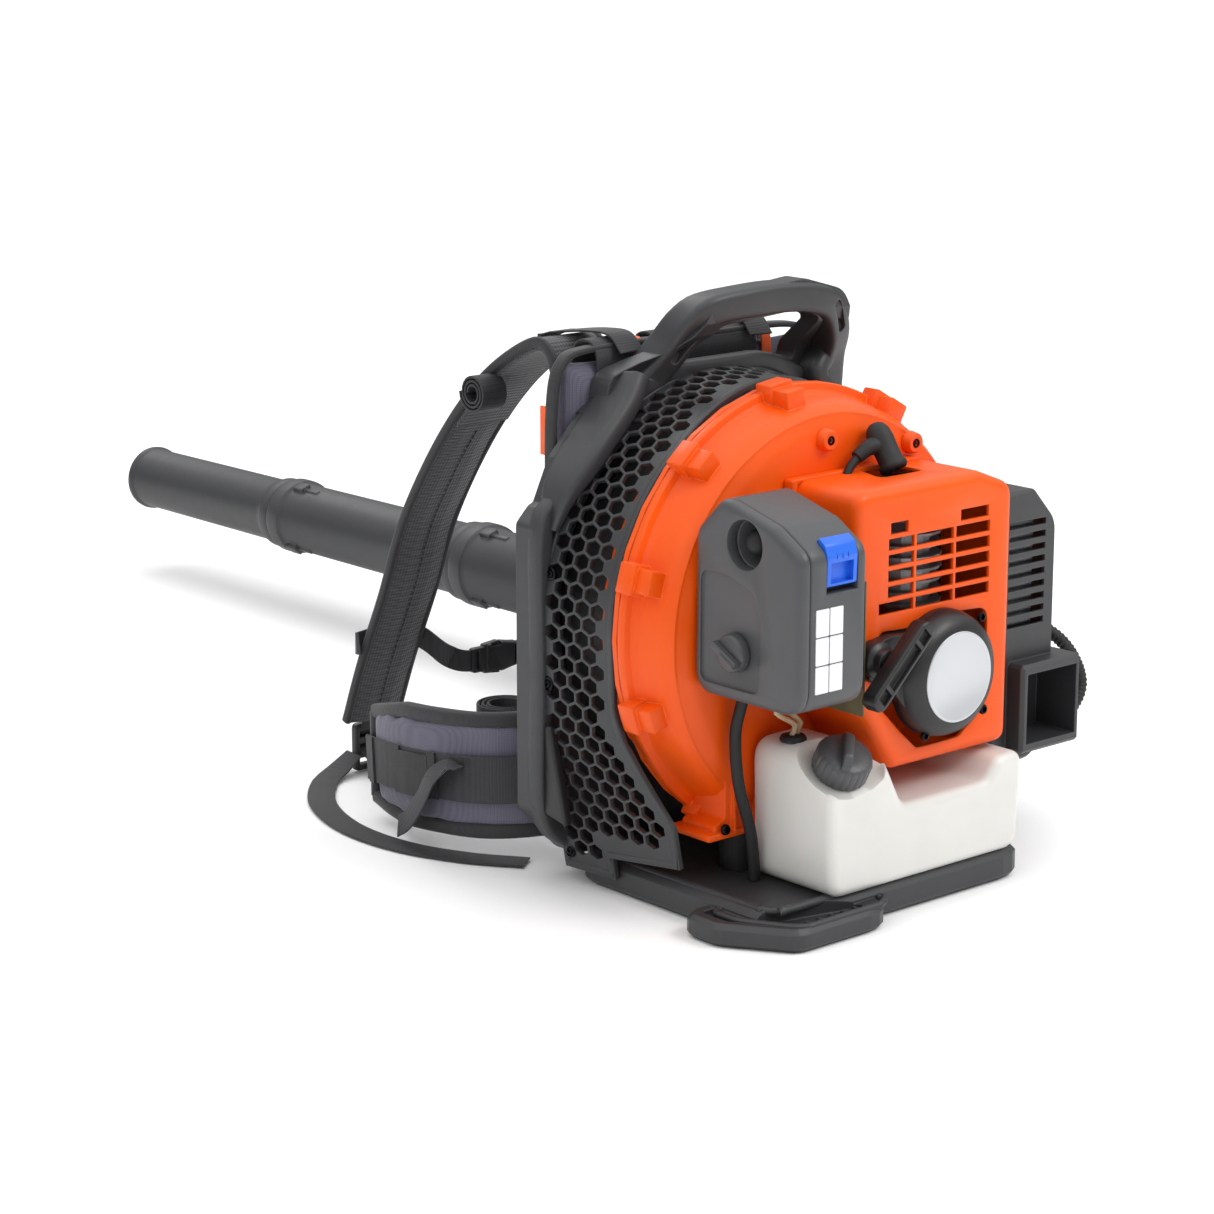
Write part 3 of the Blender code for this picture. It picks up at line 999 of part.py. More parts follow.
# ================================================================ harness
def make_harness(cloth, mesh_cloth, webbing, black):
    """Padded back rest, hip belt, shoulder straps, chest strap, adjusters and webbing."""
    pad_front = PAD_REAR + PAD_THICKNESS
    prism("back_pad", outline(
        (PAD_REAR, 0.190, 0.006), (pad_front, 0.190, 0.012), (pad_front, PAD_TOP - 0.030, 0.020),
        (pad_front - 0.004, PAD_TOP, 0.012), (PAD_REAR + 0.002, PAD_TOP, 0.012)),
        "X", -PAD_HALF_WIDTH, PAD_HALF_WIDTH, cloth, bevel=0.006)
    for name, side, reach in (("left", -1, 1.0), ("right", 1, 0.80)):
        top = Vector((side * STRAP_X, pad_front + 0.007, PAD_TOP - 0.030))
        strap = [top, top + Vector((0, 0.010, 0.026)), top + Vector((0, 0.034, 0.030)),
                 Vector((side * STRAP_X, 0.100 + 0.090 * reach, 0.396)),
                 Vector((side * STRAP_X, 0.100 + 0.150 * reach, 0.335)),
                 Vector((side * STRAP_X, 0.100 + 0.205 * reach, 0.255)),
                 Vector((side * STRAP_X, 0.100 + 0.238 * reach, 0.180)),
                 Vector((side * STRAP_X, 0.100 + 0.272 * reach, 0.110)),
                 Vector((side * STRAP_X, 0.100 + 0.296 * reach, 0.052))]
        band("shoulder_strap_" + name, strap, STRAP_WIDTH, STRAP_THICKNESS, X_AXIS, mesh_cloth)
        end = strap[-1]
        box("strap_adjuster_" + name, (end.x - 0.016, end.y - 0.001, 0.0005),
            (end.x + 0.016, end.y + 0.010, end.z - 0.004), black, 0.002)
    belt = [(-0.160, 0.300), (-0.176, 0.245), (-0.186, 0.180), (-0.180, 0.118), (-0.150, 0.084),
            (-0.100, 0.0725), (0.100, 0.0725), (0.150, 0.084), (0.180, 0.118), (0.184, 0.180),
            (0.162, 0.246), (0.126, 0.280)]
    band("hip_belt", [(u, v, 0.082) for u, v in belt], BELT_HEIGHT, BELT_THICKNESS, Z_AXIS, cloth,
         spacing=0.03)
    chest_y = 0.330
    chest_x = STRAP_X - STRAP_WIDTH / 2 - 0.004
    chest = band("chest_strap", [
        (-chest_x, 0.352, 0.128), (-0.045, chest_y + 0.006, 0.114), (-0.022, chest_y, 0.106),
        (0.020, chest_y, 0.106), (0.045, 0.322, 0.112), (chest_x, 0.302, 0.128)],
        0.020, WEBBING_THICKNESS, Z_AXIS, webbing)
    buckle = box("helper_chest_buckle", (-0.0215, chest_y - 0.006, 0.091),
                 (0.033, chest_y + 0.006, 0.121), None, 0.002)
    join(chest, buckle)
    tail_z = 0.002
    tail = [(-STRAP_X - 0.0175, 0.4005, 0.018), (-STRAP_X - 0.034, 0.400, 0.008),
            (-0.150, 0.384, tail_z), (-0.190, 0.330, tail_z), (-0.212, 0.260, tail_z),
            (-0.210, 0.190, tail_z), (-0.188, 0.130, tail_z), (-0.158, 0.086, tail_z)]
    band("webbing_tail", tail, WEBBING_WIDTH, WEBBING_THICKNESS, None, webbing)


def main():
    clear_scene()
    orange = material("orange_abs", "F4600C", 0.42)
    frame_grey = material("frame_nylon", "515254", 0.6)
    cover_grey = material("cover_nylon", "6F7072", 0.5)
    black = material("black_nylon", "1B1B1D", 0.55)
    tank_white = material("tank_polyethylene", "DEDFDC", 0.5)
    steel = material("steel", "8F9194", 0.35, 1.0)
    alloy = material("cast_aluminium", "A9ABAD", 0.45, 1.0)
    blue = material("blue_nylon", "2B66D8", 0.4)
    red = material("red_nylon", "C4281C", 0.45)
    rubber = material("black_rubber", "141415", 0.7)
    foam = material("filter_felt", "D8D2BE", 0.95)
    olive = material("heat_shield_steel", "6E6C58", 0.5, 0.6)
    rope_white = material("starter_cord", "E4E2DA", 0.9)
    clear_tube = material("fuel_line", "D9C9B0", 0.3)
    cloth = material("pad_cloth", "77758C", 0.9)
    mesh_cloth = material("strap_mesh", "38383A", 0.95)
    webbing = material("webbing", "1E1E20", 0.85)

    make_base(frame_grey)
    make_frame(frame_grey)
    make_grille(frame_grey)
    make_housing(orange, rubber)
    make_impeller(cover_grey)
    deck_z = make_crank(steel, alloy)
    head_z = make_cylinder(alloy, deck_z)
    make_shroud(orange)
    make_starter(black, rope_white)
    make_flywheel(alloy)
    make_plug(head_z, steel, rubber)
    make_muffler(steel, frame_grey)
    corner, lean, grommet_at = make_tank(tank_white, cover_grey, rubber)
    make_filter(cover_grey, foam, blue, rubber, olive)
    make_tube(frame_grey, rubber, black, red)
    make_lines(clear_tube, rubber, grommet_at)
    make_harness(cloth, mesh_cloth, webbing, black)


main()
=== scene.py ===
# %% [markdown]
# # Backpack leaf blower
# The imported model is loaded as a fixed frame, and everything else is built round it in metres:
# X is the wearer's right, Y the way the wearer faces, and Z up. Hard shells that are already the
# right shape keep their CAD mesh and get a better finish. Sewn pieces, ribbed hoses and the
# honeycomb grille are modelled again here, because a plain solid only stands in for them.

# %% Load the frame
import json
import math

import bmesh
import bpy
from mathutils import Matrix, Vector


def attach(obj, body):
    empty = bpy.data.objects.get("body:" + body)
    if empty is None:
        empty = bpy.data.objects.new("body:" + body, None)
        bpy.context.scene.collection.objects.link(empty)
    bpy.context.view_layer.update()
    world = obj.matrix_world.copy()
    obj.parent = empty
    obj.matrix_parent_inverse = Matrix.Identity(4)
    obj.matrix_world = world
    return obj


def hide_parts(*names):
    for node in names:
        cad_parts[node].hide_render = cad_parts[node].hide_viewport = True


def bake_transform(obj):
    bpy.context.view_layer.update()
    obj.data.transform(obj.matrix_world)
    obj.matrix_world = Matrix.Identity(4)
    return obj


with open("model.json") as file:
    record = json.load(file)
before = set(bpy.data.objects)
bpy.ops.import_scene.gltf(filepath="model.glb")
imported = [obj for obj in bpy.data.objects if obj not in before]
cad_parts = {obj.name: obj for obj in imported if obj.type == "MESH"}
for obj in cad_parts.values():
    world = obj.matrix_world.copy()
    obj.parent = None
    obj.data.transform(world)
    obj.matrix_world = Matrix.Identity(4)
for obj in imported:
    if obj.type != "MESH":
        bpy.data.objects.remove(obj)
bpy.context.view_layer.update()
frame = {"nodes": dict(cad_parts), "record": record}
nodes = frame["nodes"]

# %% [markdown]
# The camera stands low behind the machine's left corner, far back with a long lens, as for a
# catalogue picture, so that upright edges stay nearly parallel.

# %% Camera
VIEW_TARGET = Vector((-0.065, 0.09, 0.207))
VIEW_AZIMUTH = math.radians(-41)
VIEW_ELEVATION = math.radians(13.5)
VIEW_DISTANCE = 2.7
view_back = Vector((math.sin(VIEW_AZIMUTH) * math.cos(VIEW_ELEVATION),
                    -math.cos(VIEW_AZIMUTH) * math.cos(VIEW_ELEVATION), math.sin(VIEW_ELEVATION)))
camera_data = bpy.data.cameras.new("catalogue_camera")
camera_data.sensor_width = 36
camera_data.lens = 94.9
camera_data.clip_end = 200
camera = bpy.data.objects.new("catalogue_camera", camera_data)
bpy.context.collection.objects.link(camera)
camera.location = VIEW_TARGET + VIEW_DISTANCE * view_back
camera.rotation_euler = (-view_back).to_track_quat("-Z", "Y").to_euler()
bpy.context.scene.camera = camera
print("camera at", [round(c, 3) for c in camera.location])

# %% [markdown]
# ## Tools for finishes
# Colours are written as sRGB hex, the way a paint or plastic supplier gives them, and the shader
# works in linear light, so one function turns them. One more adds a node, with its settings and
# its links, so that each finish reads as a list of what feeds what.


# %% Colour and node helpers
def tint(hex_text):
    """An sRGB hex colour as linear RGBA."""
    channels = [int(hex_text[i:i + 2], 16) / 255 for i in (0, 2, 4)]
    return [c / 12.92 if c <= 0.04045 else ((c + 0.055) / 1.055) ** 2.4 for c in channels] + [1.0]


def add(tree, kind, settings=None, inputs=None):
    """Add a node: settings are its own options, and an input takes a value or another's output."""
    node = tree.nodes.new(kind)
    for name, value in (settings or {}).items():
        setattr(node, name, value)
    for key, value in (inputs or {}).items():
        if isinstance(value, bpy.types.NodeSocket):
            tree.links.new(value, node.inputs[key])
        else:
            node.inputs[key].default_value = value
    return node


def blank_finish(name, uniform):
    """A material with its Principled shader; uniform values sit on the shader's own sockets."""
    made = bpy.data.materials.new(name)
    made.use_nodes = True
    shader = made.node_tree.nodes["Principled BSDF"]
    for socket, value in uniform.items():
        shader.inputs[socket].default_value = value
    return made, made.node_tree, shader


# %% [markdown]
# ## Moulded plastic
# Injection moulded nylon and ABS copy the spark-eroded grain of the mould: a fine matt pebble
# about 0.5 mm across. That is too fine to show at this size, so it is drawn at about 1.2 mm.
# Edges are polished by hands and gloves, so they are a little paler and smoother. The Bevel node
# finds them, and also softens hard CAD edges. The colour drifts a little over a hand's width.


# %% Moulded plastic
def moulded(name, colour, shade, worn, roughness, uniform, edge_mm=1.4, grain=0.10):
    made, tree, shader = blank_finish(name, uniform)
    place = add(tree, "ShaderNodeTexCoord").outputs["Object"]
    drift = add(tree, "ShaderNodeTexNoise", None, {"Vector": place, "Scale": 14.0, "Detail": 3.0})
    pebble = add(tree, "ShaderNodeTexNoise", None, {"Vector": place, "Scale": 830.0, "Detail": 2.0})
    scuff = add(tree, "ShaderNodeTexNoise", None, {"Vector": place, "Scale": 90.0, "Detail": 5.0})
    body = add(tree, "ShaderNodeMix", {"data_type": "RGBA"},
               {0: drift.outputs["Fac"], 6: tint(colour), 7: tint(shade)})
    soft = add(tree, "ShaderNodeBevel", {"samples": 4}, {"Radius": edge_mm / 1000})
    surface = add(tree, "ShaderNodeNewGeometry").outputs["Normal"]
    facing = add(tree, "ShaderNodeVectorMath", {"operation": "DOT_PRODUCT"},
                 {0: soft.outputs["Normal"], 1: surface})
    edge = add(tree, "ShaderNodeMapRange", None,
               {"Value": facing.outputs["Value"], "From Min": 0.99, "From Max": 0.80,
                "To Min": 0.0, "To Max": 1.0})
    patchy = add(tree, "ShaderNodeMath", {"operation": "MULTIPLY"},
                 {0: edge.outputs["Result"], 1: scuff.outputs["Fac"]})
    colour_out = add(tree, "ShaderNodeMix", {"data_type": "RGBA"},
                     {0: patchy.outputs["Value"], 6: body.outputs[2], 7: tint(worn)})
    gloss = add(tree, "ShaderNodeMapRange", None,
                {"Value": scuff.outputs["Fac"], "To Min": roughness - 0.07, "To Max": roughness + 0.07})
    bump = add(tree, "ShaderNodeBump", None,
               {"Height": pebble.outputs["Fac"], "Distance": 0.0003, "Strength": grain,
                "Normal": soft.outputs["Normal"]})
    tree.links.new(colour_out.outputs[2], shader.inputs["Base Color"])
    tree.links.new(gloss.outputs["Result"], shader.inputs["Roughness"])
    tree.links.new(bump.outputs["Normal"], shader.inputs["Normal"])
    print("moulded finish", name)
    return made


NYLON_IOR = {"IOR": 1.53}
orange_abs = moulded("orange_abs_shell", "F25A06", "E94F02", "FF7A30", 0.38,
                     {"IOR": 1.54, "Specular IOR Level": 0.28}, 1.6, 0.05)
dark_nylon = moulded("dark_grey_glass_filled_nylon", "343537", "2C2D2F", "626365", 0.46, NYLON_IOR, 1.8, 0.16)
cover_nylon = moulded("mid_grey_moulded_nylon", "4A4B4D", "424345", "737476", 0.44, NYLON_IOR, 1.4, 0.12)
black_nylon = moulded("black_moulded_nylon", "1A1A1C", "141416", "4A4A4D", 0.42, NYLON_IOR, 1.0, 0.12)
blue_nylon = moulded("blue_moulded_nylon", "1F6BE4", "1A5FD2", "5C9BFF", 0.38, NYLON_IOR, 0.8, 0.06)
red_nylon = moulded("red_moulded_nylon", "C4281C", "B52218", "E2604F", 0.40, NYLON_IOR, 0.8, 0.06)
black_rubber = moulded("black_moulded_rubber", "151516", "101011", "303032", 0.62, {"IOR": 1.52}, 0.8, 0.12)

# %% [markdown]
# ## Blow-moulded tank
# The tank is natural high-density polyethylene. It is milky: light goes in, scatters and comes
# out again, so corners glow and nothing looks hard. Its skin has faint flow waves from the
# parison, a few centimetres apart, rather than a pebble grain.

# %% Polyethylene tank finish
milky_polyethylene, tree, shader = blank_finish(
    "natural_polyethylene", {"IOR": 1.54, "Subsurface Weight": 0.55, "Subsurface Scale": 0.012,
                             "Subsurface Radius": (1.0, 0.95, 0.85), "Transmission Weight": 0.06})
place = add(tree, "ShaderNodeTexCoord").outputs["Object"]
flow = add(tree, "ShaderNodeTexNoise", None, {"Vector": place, "Scale": 22.0, "Detail": 2.0})
skin = add(tree, "ShaderNodeMix", {"data_type": "RGBA"},
           {0: flow.outputs["Fac"], 6: tint("E6E5E1"), 7: tint("D8D8D3")})
skin_gloss = add(tree, "ShaderNodeMapRange", None,
                 {"Value": flow.outputs["Fac"], "To Min": 0.30, "To Max": 0.42})
skin_bump = add(tree, "ShaderNodeBump", None,
                {"Height": flow.outputs["Fac"], "Distance": 0.002, "Strength": 0.08})
tree.links.new(skin.outputs[2], shader.inputs["Base Color"])
tree.links.new(skin_gloss.outputs["Result"], shader.inputs["Roughness"])
tree.links.new(skin_bump.outputs["Normal"], shader.inputs["Normal"])
print("polyethylene finish made")

# %% [markdown]
# ## Metals
# The crankcase, cylinder and flywheel are die-cast aluminium, matt with a sandy skin of about
# 1 mm. The shaft and screws are steel with fine turning marks, and the heat shield is sheet steel
# browned by heat. Metals keep the default IOR, and their colour is that of the reflection.


# %% Metal finishes
def bare_metal(name, colour, shade, roughness, stretch, bump_strength):
    """A metal whose skin is a noise stretched along one way, as turning and rolling leave it."""
    made, tree, shader = blank_finish(name, {"Metallic": 1.0})
    place = add(tree, "ShaderNodeTexCoord").outputs["Object"]
    drawn = add(tree, "ShaderNodeMapping", None, {"Vector": place, "Scale": stretch})
    skin = add(tree, "ShaderNodeTexNoise", None,
               {"Vector": drawn.outputs["Vector"], "Scale": 900.0, "Detail": 3.0})
    stain = add(tree, "ShaderNodeTexNoise", None, {"Vector": place, "Scale": 45.0, "Detail": 4.0})
    body = add(tree, "ShaderNodeMix", {"data_type": "RGBA"},
               {0: stain.outputs["Fac"], 6: tint(colour), 7: tint(shade)})
    gloss = add(tree, "ShaderNodeMapRange", None,
                {"Value": stain.outputs["Fac"], "To Min": roughness - 0.08, "To Max": roughness + 0.10})
    bump = add(tree, "ShaderNodeBump", None,
               {"Height": skin.outputs["Fac"], "Distance": 0.0003, "Strength": bump_strength})
    tree.links.new(body.outputs[2], shader.inputs["Base Color"])
    tree.links.new(gloss.outputs["Result"], shader.inputs["Roughness"])
    tree.links.new(bump.outputs["Normal"], shader.inputs["Normal"])
    print("metal finish", name)
    return made


cast_aluminium = bare_metal("die_cast_aluminium", "A3A5A8", "7E8083", 0.48, (1, 1, 1), 0.30)
turned_steel = bare_metal("turned_steel", "8E9094", "6C6E72", 0.34, (0.1, 0.1, 1), 0.15)
browned_steel = bare_metal("heat_browned_steel", "77725A", "5B5743", 0.42, (0.1, 1, 0.1), 0.15)
zinc_screw = bare_metal("black_passivated_screw", "2C2C2E", "1B1B1D", 0.36, (1, 1, 1), 0.10)

# %% [markdown]
# ## Cloth
# Pads are polyester pack cloth in a plain weave of about 0.5 mm threads, drawn at 1.6 mm so that
# it shows. The straps are 3-D air mesh, with a hole every 3 mm. Webbing is woven in ribs across
# its width. Three waves, one along each axis, are multiplied, so the weave shows on a surface
# that faces any way and needs no unwrapping. Sheen gives the pale bloom of fibre ends.


# %% Cloth finishes
def woven(name, colour, thread, worn, pitch_mm, depth_mm, uniform, crease=0.0):
    made, tree, shader = blank_finish(name, uniform)
    place = add(tree, "ShaderNodeTexCoord").outputs["Object"]
    wander = add(tree, "ShaderNodeTexNoise", None, {"Vector": place, "Scale": 60.0, "Detail": 2.0})
    shifted = add(tree, "ShaderNodeVectorMath", {"operation": "MULTIPLY_ADD"},
                  {0: wander.outputs["Color"], 1: (0.0012, 0.0012, 0.0012), 2: place})
    split = add(tree, "ShaderNodeSeparateXYZ", None, {"Vector": shifted.outputs["Vector"]})
    height = None
    for way in ("X", "Y", "Z"):
        turn = add(tree, "ShaderNodeMath", {"operation": "MULTIPLY"},
                   {0: split.outputs[way], 1: 2000 * math.pi / pitch_mm})
        wave = add(tree, "ShaderNodeMath", {"operation": "SINE"}, {0: turn.outputs["Value"]})
        if height is None:
            height = wave.outputs["Value"]
        else:
            height = add(tree, "ShaderNodeMath", {"operation": "ADD"},
                         {0: height, 1: wave.outputs["Value"]}).outputs["Value"]
    weave = add(tree, "ShaderNodeMapRange", None, {"Value": height, "From Min": -2.2, "From Max": 2.2})
    fold = add(tree, "ShaderNodeTexNoise", None, {"Vector": place, "Scale": 26.0, "Detail": 3.0,
                                                  "Distortion": 0.6})
    dust = add(tree, "ShaderNodeTexNoise", None, {"Vector": place, "Scale": 9.0, "Detail": 3.0})
    cloth = add(tree, "ShaderNodeMix", {"data_type": "RGBA"},
                {0: weave.outputs["Result"], 6: tint(colour), 7: tint(thread)})
    dusty = add(tree, "ShaderNodeMapRange", None,
                {"Value": dust.outputs["Fac"], "From Min": 0.45, "From Max": 0.75, "To Max": 0.35})
    body = add(tree, "ShaderNodeMix", {"data_type": "RGBA"},
               {0: dusty.outputs["Result"], 6: cloth.outputs[2], 7: tint(worn)})
    threads = add(tree, "ShaderNodeBump", None,
                  {"Height": weave.outputs["Result"], "Distance": depth_mm / 1000, "Strength": 0.5})
    folds = add(tree, "ShaderNodeBump", None,
                {"Height": fold.outputs["Fac"], "Distance": 0.006, "Strength": crease,
                 "Normal": threads.outputs["Normal"]})
    tree.links.new(body.outputs[2], shader.inputs["Base Color"])
    tree.links.new(folds.outputs["Normal"], shader.inputs["Normal"])
    print("cloth finish", name)
    return made


pack_cloth = woven("lavender_grey_pack_cloth", "4B4957", "615F70", "767486", 1.6, 0.25,
                   {"Roughness": 0.72, "Sheen Weight": 0.35, "Sheen Roughness": 0.4}, 0.22)
air_mesh = woven("charcoal_air_mesh", "232325", "444447", "4E4E52", 3.0, 0.8,
                 {"Roughness": 0.85, "Sheen Weight": 0.4, "Sheen Roughness": 0.5}, 0.10)
tape = woven("black_nylon_webbing", "1B1B1D", "303033", "3C3C40", 1.8, 0.3,
             {"Roughness": 0.66, "Sheen Weight": 0.25, "Sheen Roughness": 0.35})
binding = woven("black_binding_tape", "18181A", "29292C", "343438", 1.2, 0.2,
                {"Roughness": 0.7, "Sheen Weight": 0.3, "Sheen Roughness": 0.4})
orange_tape = woven("orange_trim_tape", "E8500E", "F7682A", "F98B55", 1.2, 0.2,
                    {"Roughness": 0.6, "Sheen Weight": 0.3, "Sheen Roughness": 0.4})
filter_felt = woven("cream_filter_felt", "CFC9B4", "E0DBC9", "BDB59C", 1.4, 0.4,
                    {"Roughness": 0.95, "Sheen Weight": 0.3, "Sheen Roughness": 0.6})
braided_cord = woven("white_braided_cord", "D5D3CA", "EFEDE6", "BCB9AD", 0.9, 0.3,
                     {"Roughness": 0.8, "Sheen Weight": 0.3, "Sheen Roughness": 0.5})

# %% [markdown]
# Fuel lines are clear polyurethane tube, tinted straw by the fuel. The tint sits in the body of
# the tube, so it is a transmitting plastic with a warm base colour that varies slightly.

# %% Fuel line finish
clear_line, tree, shader = blank_finish("clear_polyurethane_tube",
                                        {"IOR": 1.50, "Transmission Weight": 0.45, "Roughness": 0.16})
place = add(tree, "ShaderNodeTexCoord").outputs["Object"]
fuel = add(tree, "ShaderNodeTexNoise", None, {"Vector": place, "Scale": 120.0, "Detail": 2.0})
straw = add(tree, "ShaderNodeMix", {"data_type": "RGBA"},
            {0: fuel.outputs["Fac"], 6: tint("E4D3B4"), 7: tint("CDB48C")})
tree.links.new(straw.outputs[2], shader.inputs["Base Color"])
print("fuel line finish made")

# %% [markdown]
# Every CAD piece that stays in view takes one of these finishes in place of its plain colour.

# %% Finish the CAD pieces
FINISH_OF_SLOT = {
    "orange_abs": orange_abs, "frame_nylon": dark_nylon, "cover_nylon": cover_nylon,
    "black_nylon": black_nylon, "tank_polyethylene": milky_polyethylene, "steel": turned_steel,
    "cast_aluminium": cast_aluminium, "blue_nylon": blue_nylon, "red_nylon": red_nylon,
    "black_rubber": black_rubber, "filter_felt": filter_felt, "heat_shield_steel": browned_steel,
    "starter_cord": braided_cord, "fuel_line": clear_line, "pad_cloth": pack_cloth,
    "strap_mesh": air_mesh, "webbing": tape,
}
for row in frame["record"]["subparts"]:
    piece = nodes[row["node"]]
    for place_number in range(len(piece.material_slots)):
        piece.material_slots[place_number].material = FINISH_OF_SLOT[row["material_slot"]]

# %% [markdown]
# ## Tools for shapes
# Most shells are either a profile spun round an axis or an outline pulled along one, with its
# edges rounded afterwards, so three short helpers draw those, and two more bake modifiers and
# hand a finished mesh to its body.


# %% Shape helpers
def outline(*corners, steps=6):
    """Points of a polygon whose corners (u, v, radius) are rounded."""
    points = []
    for i, (u, v, radius) in enumerate(corners):
        here = Vector((u, v))
        if radius <= 0:
            points.append(here)
            continue
        before = Vector(corners[i - 1][:2]) - here
        after = Vector(corners[(i + 1) % len(corners)][:2]) - here
        reach = min(radius / math.tan(before.angle(after) / 2), before.length * 0.45, after.length * 0.45)
        start, end = here + before.normalized() * reach, here + after.normalized() * reach
        points += [start.lerp(here, k / steps).lerp(here.lerp(end, k / steps), k / steps)
                   for k in range(steps + 1)]
    return points


PULL = {"X": lambda u, v, d: (d, u, v), "Y": lambda u, v, d: (u, d, v), "Z": lambda u, v, d: (u, v, d)}


def slab(points, axis, low, high, shape=None):
    """An outline pulled along an axis."""
    shape = shape or bmesh.new()
    rows = [[shape.verts.new(PULL[axis](p[0], p[1], depth)) for p in points] for depth in (low, high)]
    faces = [shape.faces.new(rows[0]), shape.faces.new(list(reversed(rows[1])))]
    for i in range(len(points)):
        j = (i + 1) % len(points)
        faces.append(shape.faces.new((rows[0][i], rows[1][i], rows[1][j], rows[0][j])))
    bmesh.ops.recalc_face_normals(shape, faces=faces)
    return shape


def block(low, high, shape=None):
    return slab([(low[0], low[1]), (high[0], low[1]), (high[0], high[1]), (low[0], high[1])],
                "Z", low[2], high[2], shape)


def spun(profile, centre, axis, steps=96, shape=None):
    """A profile of (radius, height) spun about an axis through centre."""
    shape = shape or bmesh.new()
    turn = Matrix.Translation(Vector(centre)) @ Vector(axis).to_track_quat("Z", "Y").to_matrix().to_4x4()
    rings = []
    for radius, height in profile:
        count = 1 if radius == 0 else steps
        rings.append([shape.verts.new(turn @ Vector((radius * math.cos(2 * math.pi * k / steps),
                                                     radius * math.sin(2 * math.pi * k / steps), height)))
                      for k in range(count)])
    closed = profile[0][0] > 0 and profile[-1][0] > 0
    pairs = list(zip(rings, rings[1:])) + ([(rings[-1], rings[0])] if closed else [])
    faces = []
    for a, b in pairs:
        for k in range(steps):
            j = (k + 1) % steps
            corners = [a[k % len(a)], a[j % len(a)], b[j % len(b)], b[k % len(b)]]
            kept = [v for i, v in enumerate(corners) if v not in corners[:i]]
            if len(kept) > 2:
                faces.append(shape.faces.new(kept))
    bmesh.ops.recalc_face_normals(shape, faces=faces)
    return shape


def smooth_route(points, spacing):
    """A Catmull-Rom line through the points, cut into even steps."""
    points = [Vector(p) for p in points]
    ends = [2 * points[0] - points[1]] + points + [2 * points[-1] - points[-2]]
    line = []
    for i in range(1, len(ends) - 2):
        p0, p1, p2, p3 = ends[i - 1:i + 3]
        for k in range(24):
            t = k / 24
            line.append(0.5 * (2 * p1 + (p2 - p0) * t + (2 * p0 - 5 * p1 + 4 * p2 - p3) * t * t
                               + (3 * p1 - p0 - 3 * p2 + p3) * t ** 3))
    line.append(points[-1])
    far = [0.0]
    for a, b in zip(line, line[1:]):
        far.append(far[-1] + (b - a).length)
    count = max(2, round(far[-1] / spacing))
    route, i = [], 0
    for k in range(count + 1):
        want = far[-1] * k / count
        while i < len(line) - 2 and far[i + 1] < want:
            i += 1
        route.append(line[i].lerp(line[i + 1], (want - far[i]) / max(1e-9, far[i + 1] - far[i])))
    return route


def run_along(route, section, side, shape=None, grow=None):
    """A section (across, out) carried along a route; side is the across direction, or None when
    the section lies flat on the ground, across the route."""
    shape = shape or bmesh.new()
    rings = []
    for i, point in enumerate(route):
        ahead = (route[min(i + 1, len(route) - 1)] - route[max(i - 1, 0)]).normalized()
        across = Vector((0, 0, 1)).cross(ahead).normalized() if side is None else Vector(side)
        across = (across - ahead * across.dot(ahead)).normalized()
        out = ahead.cross(across)
        size = grow(i / (len(route) - 1)) if grow else 1.0
        rings.append([shape.verts.new(point + across * u * size + out * v * size) for u, v in section])
    faces = [shape.faces.new(list(reversed(rings[0]))), shape.faces.new(rings[-1])]
    for a, b in zip(rings, rings[1:]):
        for k in range(len(section)):
            j = (k + 1) % len(section)
            faces.append(shape.faces.new((a[k], a[j], b[j], b[k])))
    bmesh.ops.recalc_face_normals(shape, faces=faces)
    return shape


def round_section(radius, count=16):
    return [(radius * math.cos(2 * math.pi * k / count), radius * math.sin(2 * math.pi * k / count))
            for k in range(count)]


def flat_section(width, thickness, radius=None, steps=3):
    half, thick = width / 2, thickness / 2
    radius = thick * 0.98 if radius is None else radius
    return outline((-half, -thick, radius), (half, -thick, radius), (half, thick, radius),
                   (-half, thick, radius), steps=steps)


def stand(name, shape, finish=None, crease=40):
    """A bmesh becomes an object in the scene."""
    mesh = bpy.data.meshes.new(name)
    shape.to_mesh(mesh)
    shape.free()
    mesh.shade_smooth()
    mesh.set_sharp_from_angle(angle=math.radians(crease))
    if finish:
        mesh.materials.append(finish)
    made = bpy.data.objects.new(name, mesh)
    bpy.context.collection.objects.link(made)
    return made


def bake(made, crease=40):
    """Replace the mesh by what its modifiers make of it."""
    settled = bpy.data.meshes.new_from_object(made.evaluated_get(bpy.context.evaluated_depsgraph_get()))
    made.modifiers.clear()
    made.data = settled
    settled.shade_smooth()
    settled.set_sharp_from_angle(angle=math.radians(crease))
    return made


def rounded(made, width, segments=3, angle=35):
    edge = made.modifiers.new("rounded", "BEVEL")
    edge.width, edge.segments, edge.limit_method = width, segments, "ANGLE"
    edge.angle_limit = math.radians(angle)
    edge.use_clamp_overlap = True
    return bake(made)


def carve(made, tool, way="DIFFERENCE"):
    step = made.modifiers.new("carve", "BOOLEAN")
    step.operation, step.solver, step.object = way, "EXACT", tool
    bake(made)
    bpy.data.objects.remove(tool, do_unlink=True)
    return made


def fit(made, body, slot, *stands_for):
    """Hand a finished piece to its body, and name what it takes the place of."""
    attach(made, body)
    if stands_for:
        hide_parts(*stands_for)
    print(made.name, "rides", body)
    return made


def turned_block(low, high, about, angle, axis="Y", shape=None):
    """A block drawn at the origin, then turned about an axis and moved to a point."""
    made = block(low, high)
    bmesh.ops.transform(made, matrix=Matrix.Translation(Vector(about)) @ Matrix.Rotation(angle, 4, axis),
                        verts=made.verts)
    if shape is None:
        return made
    scrap = bpy.data.meshes.new("scrap")
    made.to_mesh(scrap)
    made.free()
    shape.from_mesh(scrap)
    bpy.data.meshes.remove(scrap)
    return shape


